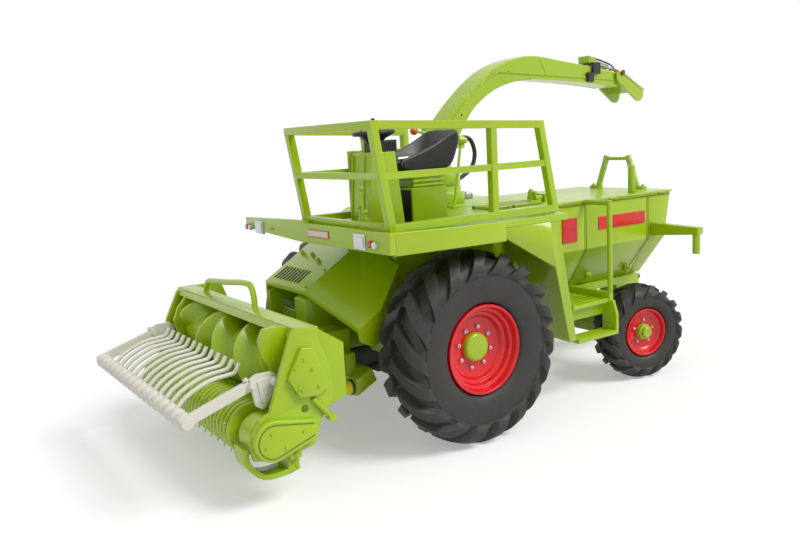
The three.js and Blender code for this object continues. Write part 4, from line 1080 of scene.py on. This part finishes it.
def make_reel():
    """Close-set stripper rings with spring tines between them, on a shaft."""
    axis = in_datum(joint_place("pickup_reel_spin"))
    here = Matrix.Translation((axis.x, 0, axis.z))
    bm = bmesh.new()
    count, half, radius, groove = 30, 30.2, 6.1, 4.9
    shoulder = radius - 0.25
    step = 2 * half / count
    ring = [(groove, 0), (shoulder, 0.1), (radius, 0.35), (radius, 0.95), (shoulder, 1.2), (groove, 1.3)]
    profile = [(r, -half + k * step + dy) for k in range(count) for r, dy in ring]
    lathe(bm, [(1, -half)] + profile + [(1, half)], 40, here)
    turned(bm, 1.6, -37, 37, 32, here)
    finish_piece("reel_rings", bm, GREEN, "pickup_reel", ("pickup_reel",), smooth=35)
    bm = bmesh.new()
    root, reach, swept = 4.6, 6.9, 0.16
    for k in range(count - 1):
        y = -half + (k + 1) * step - 0.35
        for a in circle(4):
            a += 0.35 * (k % 2) + 0.5
            foot = Vector((root * math.cos(a), y, root * math.sin(a)))
            tip = Vector((reach * math.cos(a - swept), y, reach * math.sin(a - swept)))
            cylinder(bm, here @ foot, here @ tip, 0.2, 6, 0.13)
    finish_piece("reel_tines", bm, GREEN, "pickup_reel")


def make_crop_guard():
    """A ribbed bar held by two arms, with curved tines back over the reel."""
    hinge = in_datum(joint_place("crop_guard_tilt"))
    bar = Vector((76.2, 0, 23.2))
    half, pitch = 34.3, 4
    bead = ((-1.5, 1.3), (-1.05, 1.75), (-0.35, 1.9), (0.35, 1.9), (1.05, 1.75), (1.5, 1.3))
    bm = bmesh.new()
    pin(bm, bar.x, bar.z, -half, half, 1.35, 28)
    for k in range(17):
        y = -32 + pitch * k
        rings(bm, [[(bar.x + r * math.cos(a), y + dy, bar.z + r * math.sin(a)) for a in circle(20)]
                   for dy, r in bead])
    for k in range(13):
        y = -22 + pitch * k
        curve = [(bar.x, bar.z + 0.6), (73, 26.6), (68, 28.7), (63.6, 29.2), (62.2, 29.3)]
        kink = [Vector((61.5, y, 29.8)), Vector((60.6, y, 31.4))]
        tube(bm, spline([(x, y, z) for x, z in curve], 6) + kink, 0.52, 12)
    finish_piece("guard_tines", bm, IVORY, "crop_guard", ("crop_guard",), smooth=40)
    arm = [(77.4, 22), (77.8, 24.2), (75.6, 25), (62, 29.3), (60.8, 28.4), (61.2, 27)]
    fan = [(62, 29.6), (60.4, 30.4), (56.8, 30.4), (55.4, 29.4), (55.2, 28.4), (58.6, 22.8),
           (59.6, 22.4), (61, 23.4)]
    fan_rim = [(hinge.x + (x - hinge.x) * 0.72, z - (z - 27) * 0.28) for x, z in fan]
    fan_y = 34
    bm = bmesh.new()
    for s in (1, -1):
        prism(bm, arm, *span(s, half - 1.5, half - 0.3))
        prism(bm, fan, *span(s, fan_y - 0.5, fan_y + 0.5))
        prism(bm, fan_rim, *span(s, fan_y + 0.4, fan_y + 0.8))
        pin(bm, 61.6, 28.3, s * 32.4, s * 35.4, 0.8, 20)
        pin(bm, hinge.x, hinge.z, s * 33.4, s * 36.9, 1, 20)
        hexagon_head(bm, (62.6, s * 33.6, 29.2), (0, 0, 1), 0.7, 0.6)
    finish_piece("guard_arms", bm, IVORY, "crop_guard", bevel=0.12)


def make_header_details():
    """Cover screws, the chain cover's groove and a dark disc drawn in painted shade, the hanging bar and
    bolts on the end plates.
    """
    side = node_box("header_side_cover")[1].y
    drive = node_box("header_drive_cover")[1].y
    reel = in_datum(joint_place("pickup_reel_spin"))
    bm = bmesh.new()
    for x, z in ((51.4, 33), (49.6, 30.6), (53.6, 31.6), (48.2, 26.4), (52.2, 26.2), (53, 27)):
        pin(bm, x, z, side - SUNK, side + 0.3, 0.36, 16)
    for x, z in ((60.6, 18.8), (62, 16), (57.4, 14.8), (53, 17.6)):
        pin(bm, x, z, drive - SUNK, drive + 0.3, 0.34, 16)
    plate_y = 38.45
    for z in (9.2, 12, 14.2):
        for s in (1, -1):
            hexagon_head(bm, (54.4, s * plate_y, z), (0, s, 0), 0.5, 0.4)
    here = Matrix.Translation((reel.x, 0, reel.z))
    lathe(bm, [(2, 31.6), (4.3, 31.6), (4.6, 31.9), (4.6, 37.2), (2, 37.2)], 56, here)
    finish_piece("header_screws", bm, GREEN, "header")
    # The chain cover's groove and a disc on the end plate are painted shade in dark green.
    bm = bmesh.new()
    radius, half_arc, steps = 3.7, 1.75, 28
    arc = [(reel.x + radius * math.cos(a), reel.z + radius * math.sin(a))
           for a in (half_arc - 2 * half_arc * k / steps for k in range(steps + 1))]
    line = [(50.4, 18.7)] + arc + [(50.4, 16)]
    tube(bm, [(x, drive + 0.02, z) for x, z in line], 0.14, 8)
    pin(bm, 51.4, 21.7, plate_y - SUNK, plate_y + 0.08, 0.85, 24)
    finish_piece("header_grooves", bm, SHADE_GREEN, "header")
    bm = bmesh.new()
    tube(bm, [(49.5, 38.9, 23.6), (45.1, 38.9, 18.3)], 0.65, 12)
    pin(bm, 45.1, 18.3, 37.6, 39.6, 1, 20)
    for x, z in ((30.8, 24.2), (39, 31), (46, 13)):
        hexagon_head(bm, (x, -plate_y, z), (0, -1, 0), 0.6, 0.45)
    finish_piece("header_bar", bm, GREEN, "header", bevel=0.1)


# ---------------- stage
AMBIENT = 0.4  # the pale surround's light on surfaces; rays from the camera see it white
FLOOR_TONE = 0.78
FLOOR_GLOW = 0.34
# Name, direction towards the lamp, strength and width in degrees.
LAMPS = (("key", (-0.5, 0.8, 1.0), 2.0, 26), ("fill", (0.9, 0.15, 0.7), 0.3, 60))


def make_stage():
    """A pale surround, two soft lamps and the floor."""
    scene = bpy.context.scene
    scene.view_settings.view_transform = "Standard"
    world = bpy.data.worlds.new("studio")
    scene.world = world
    world.use_nodes = True
    tree = world.node_tree
    background = tree.nodes["Background"]
    background.inputs["Color"].default_value = (1, 1, 1, 1)
    seen = seen_directly(tree)
    level = tree.nodes.new("ShaderNodeMapRange")
    level.inputs["To Min"].default_value = AMBIENT
    level.inputs["To Max"].default_value = 1
    tree.links.new(seen, level.inputs["Value"])
    tree.links.new(level.outputs["Result"], background.inputs["Strength"])
    make_floor()
    for name, direction, strength, angle in LAMPS:
        lamp = bpy.data.lights.new(name, "SUN")
        lamp.energy = strength
        lamp.angle = math.radians(angle)
        holder = bpy.data.objects.new(name, lamp)
        holder.rotation_mode = "QUATERNION"
        holder.rotation_quaternion = Vector(direction).to_track_quat("Z", "Y")
        scene.collection.objects.link(holder)


def seen_directly(tree):
    """1 for camera, glossy and transmission rays."""
    path = tree.nodes.new("ShaderNodeLightPath")
    total = path.outputs["Is Camera Ray"]
    for name in ("Is Glossy Ray", "Is Transmission Ray"):
        add = tree.nodes.new("ShaderNodeMath")
        add.operation = "MAXIMUM"
        tree.links.new(total, add.inputs[0])
        tree.links.new(path.outputs[name], add.inputs[1])
        total = add.outputs["Value"]
    return total


def make_floor():
    reach, thick = 6000, 2
    bm = bmesh.new()
    box(bm, (-reach, -reach, -thick), (reach, reach, 0))
    mesh = bpy.data.meshes.new("floor")
    bm.transform(TO_FRAME)
    bm.to_mesh(mesh)
    bm.free()
    floor = bpy.data.objects.new("floor", mesh)
    bpy.context.scene.collection.objects.link(floor)
    material = bpy.data.materials.new("floor_paper")
    material.use_nodes = True
    tree = material.node_tree
    shader = tree.nodes["Principled BSDF"]
    shader.inputs["Base Color"].default_value = (FLOOR_TONE, FLOOR_TONE, FLOOR_TONE, 1)
    shader.inputs["Roughness"].default_value = 0.9
    shader.inputs["Specular IOR Level"].default_value = 0
    shader.inputs["Emission Color"].default_value = (1, 1, 1, 1)
    level = tree.nodes.new("ShaderNodeMath")
    level.operation = "MULTIPLY"
    level.inputs[1].default_value = FLOOR_GLOW
    tree.links.new(seen_directly(tree), level.inputs[0])
    tree.links.new(level.outputs["Value"], shader.inputs["Emission Strength"])
    mesh.materials.append(material)


# ---------------- build
make_camera()
make_stage()
for end, tyre, rim in (("front", FRONT_TYRE, FRONT_RIM), ("rear", REAR_TYRE, REAR_RIM)):
    for hand, side in SIDES:
        make_wheel(f"{end}_wheel_{hand}", side, tyre, rim)
make_spout()
make_flap()
make_hose()
make_seat()
make_steering_wheel()
make_platform_details()
make_lamps()
make_hood_details()
make_bolts()
make_radiator_bars()
make_tank_details()
make_shaft_guard()
make_intake_details()
make_auger()
make_reel()
make_crop_guard()
make_header_details()

# The nodes that nothing above replaces keep their own shape.
NODE_FINISH = {"radiator_screen": BLACK, "filler_cap": SILVER}
ROUND_BARS = ("platform_railing", "spout_rest", "ladder_steps", "lamp_arm_left", "lamp_arm_right")
FLAT_BEVEL = 0.22
BAR_BEVEL = 0.42
for name, node in frame["nodes"].items():
    if not node.hide_render:
        refined(name, NODE_FINISH.get(name, GREEN), BAR_BEVEL if name in ROUND_BARS else FLAT_BEVEL)
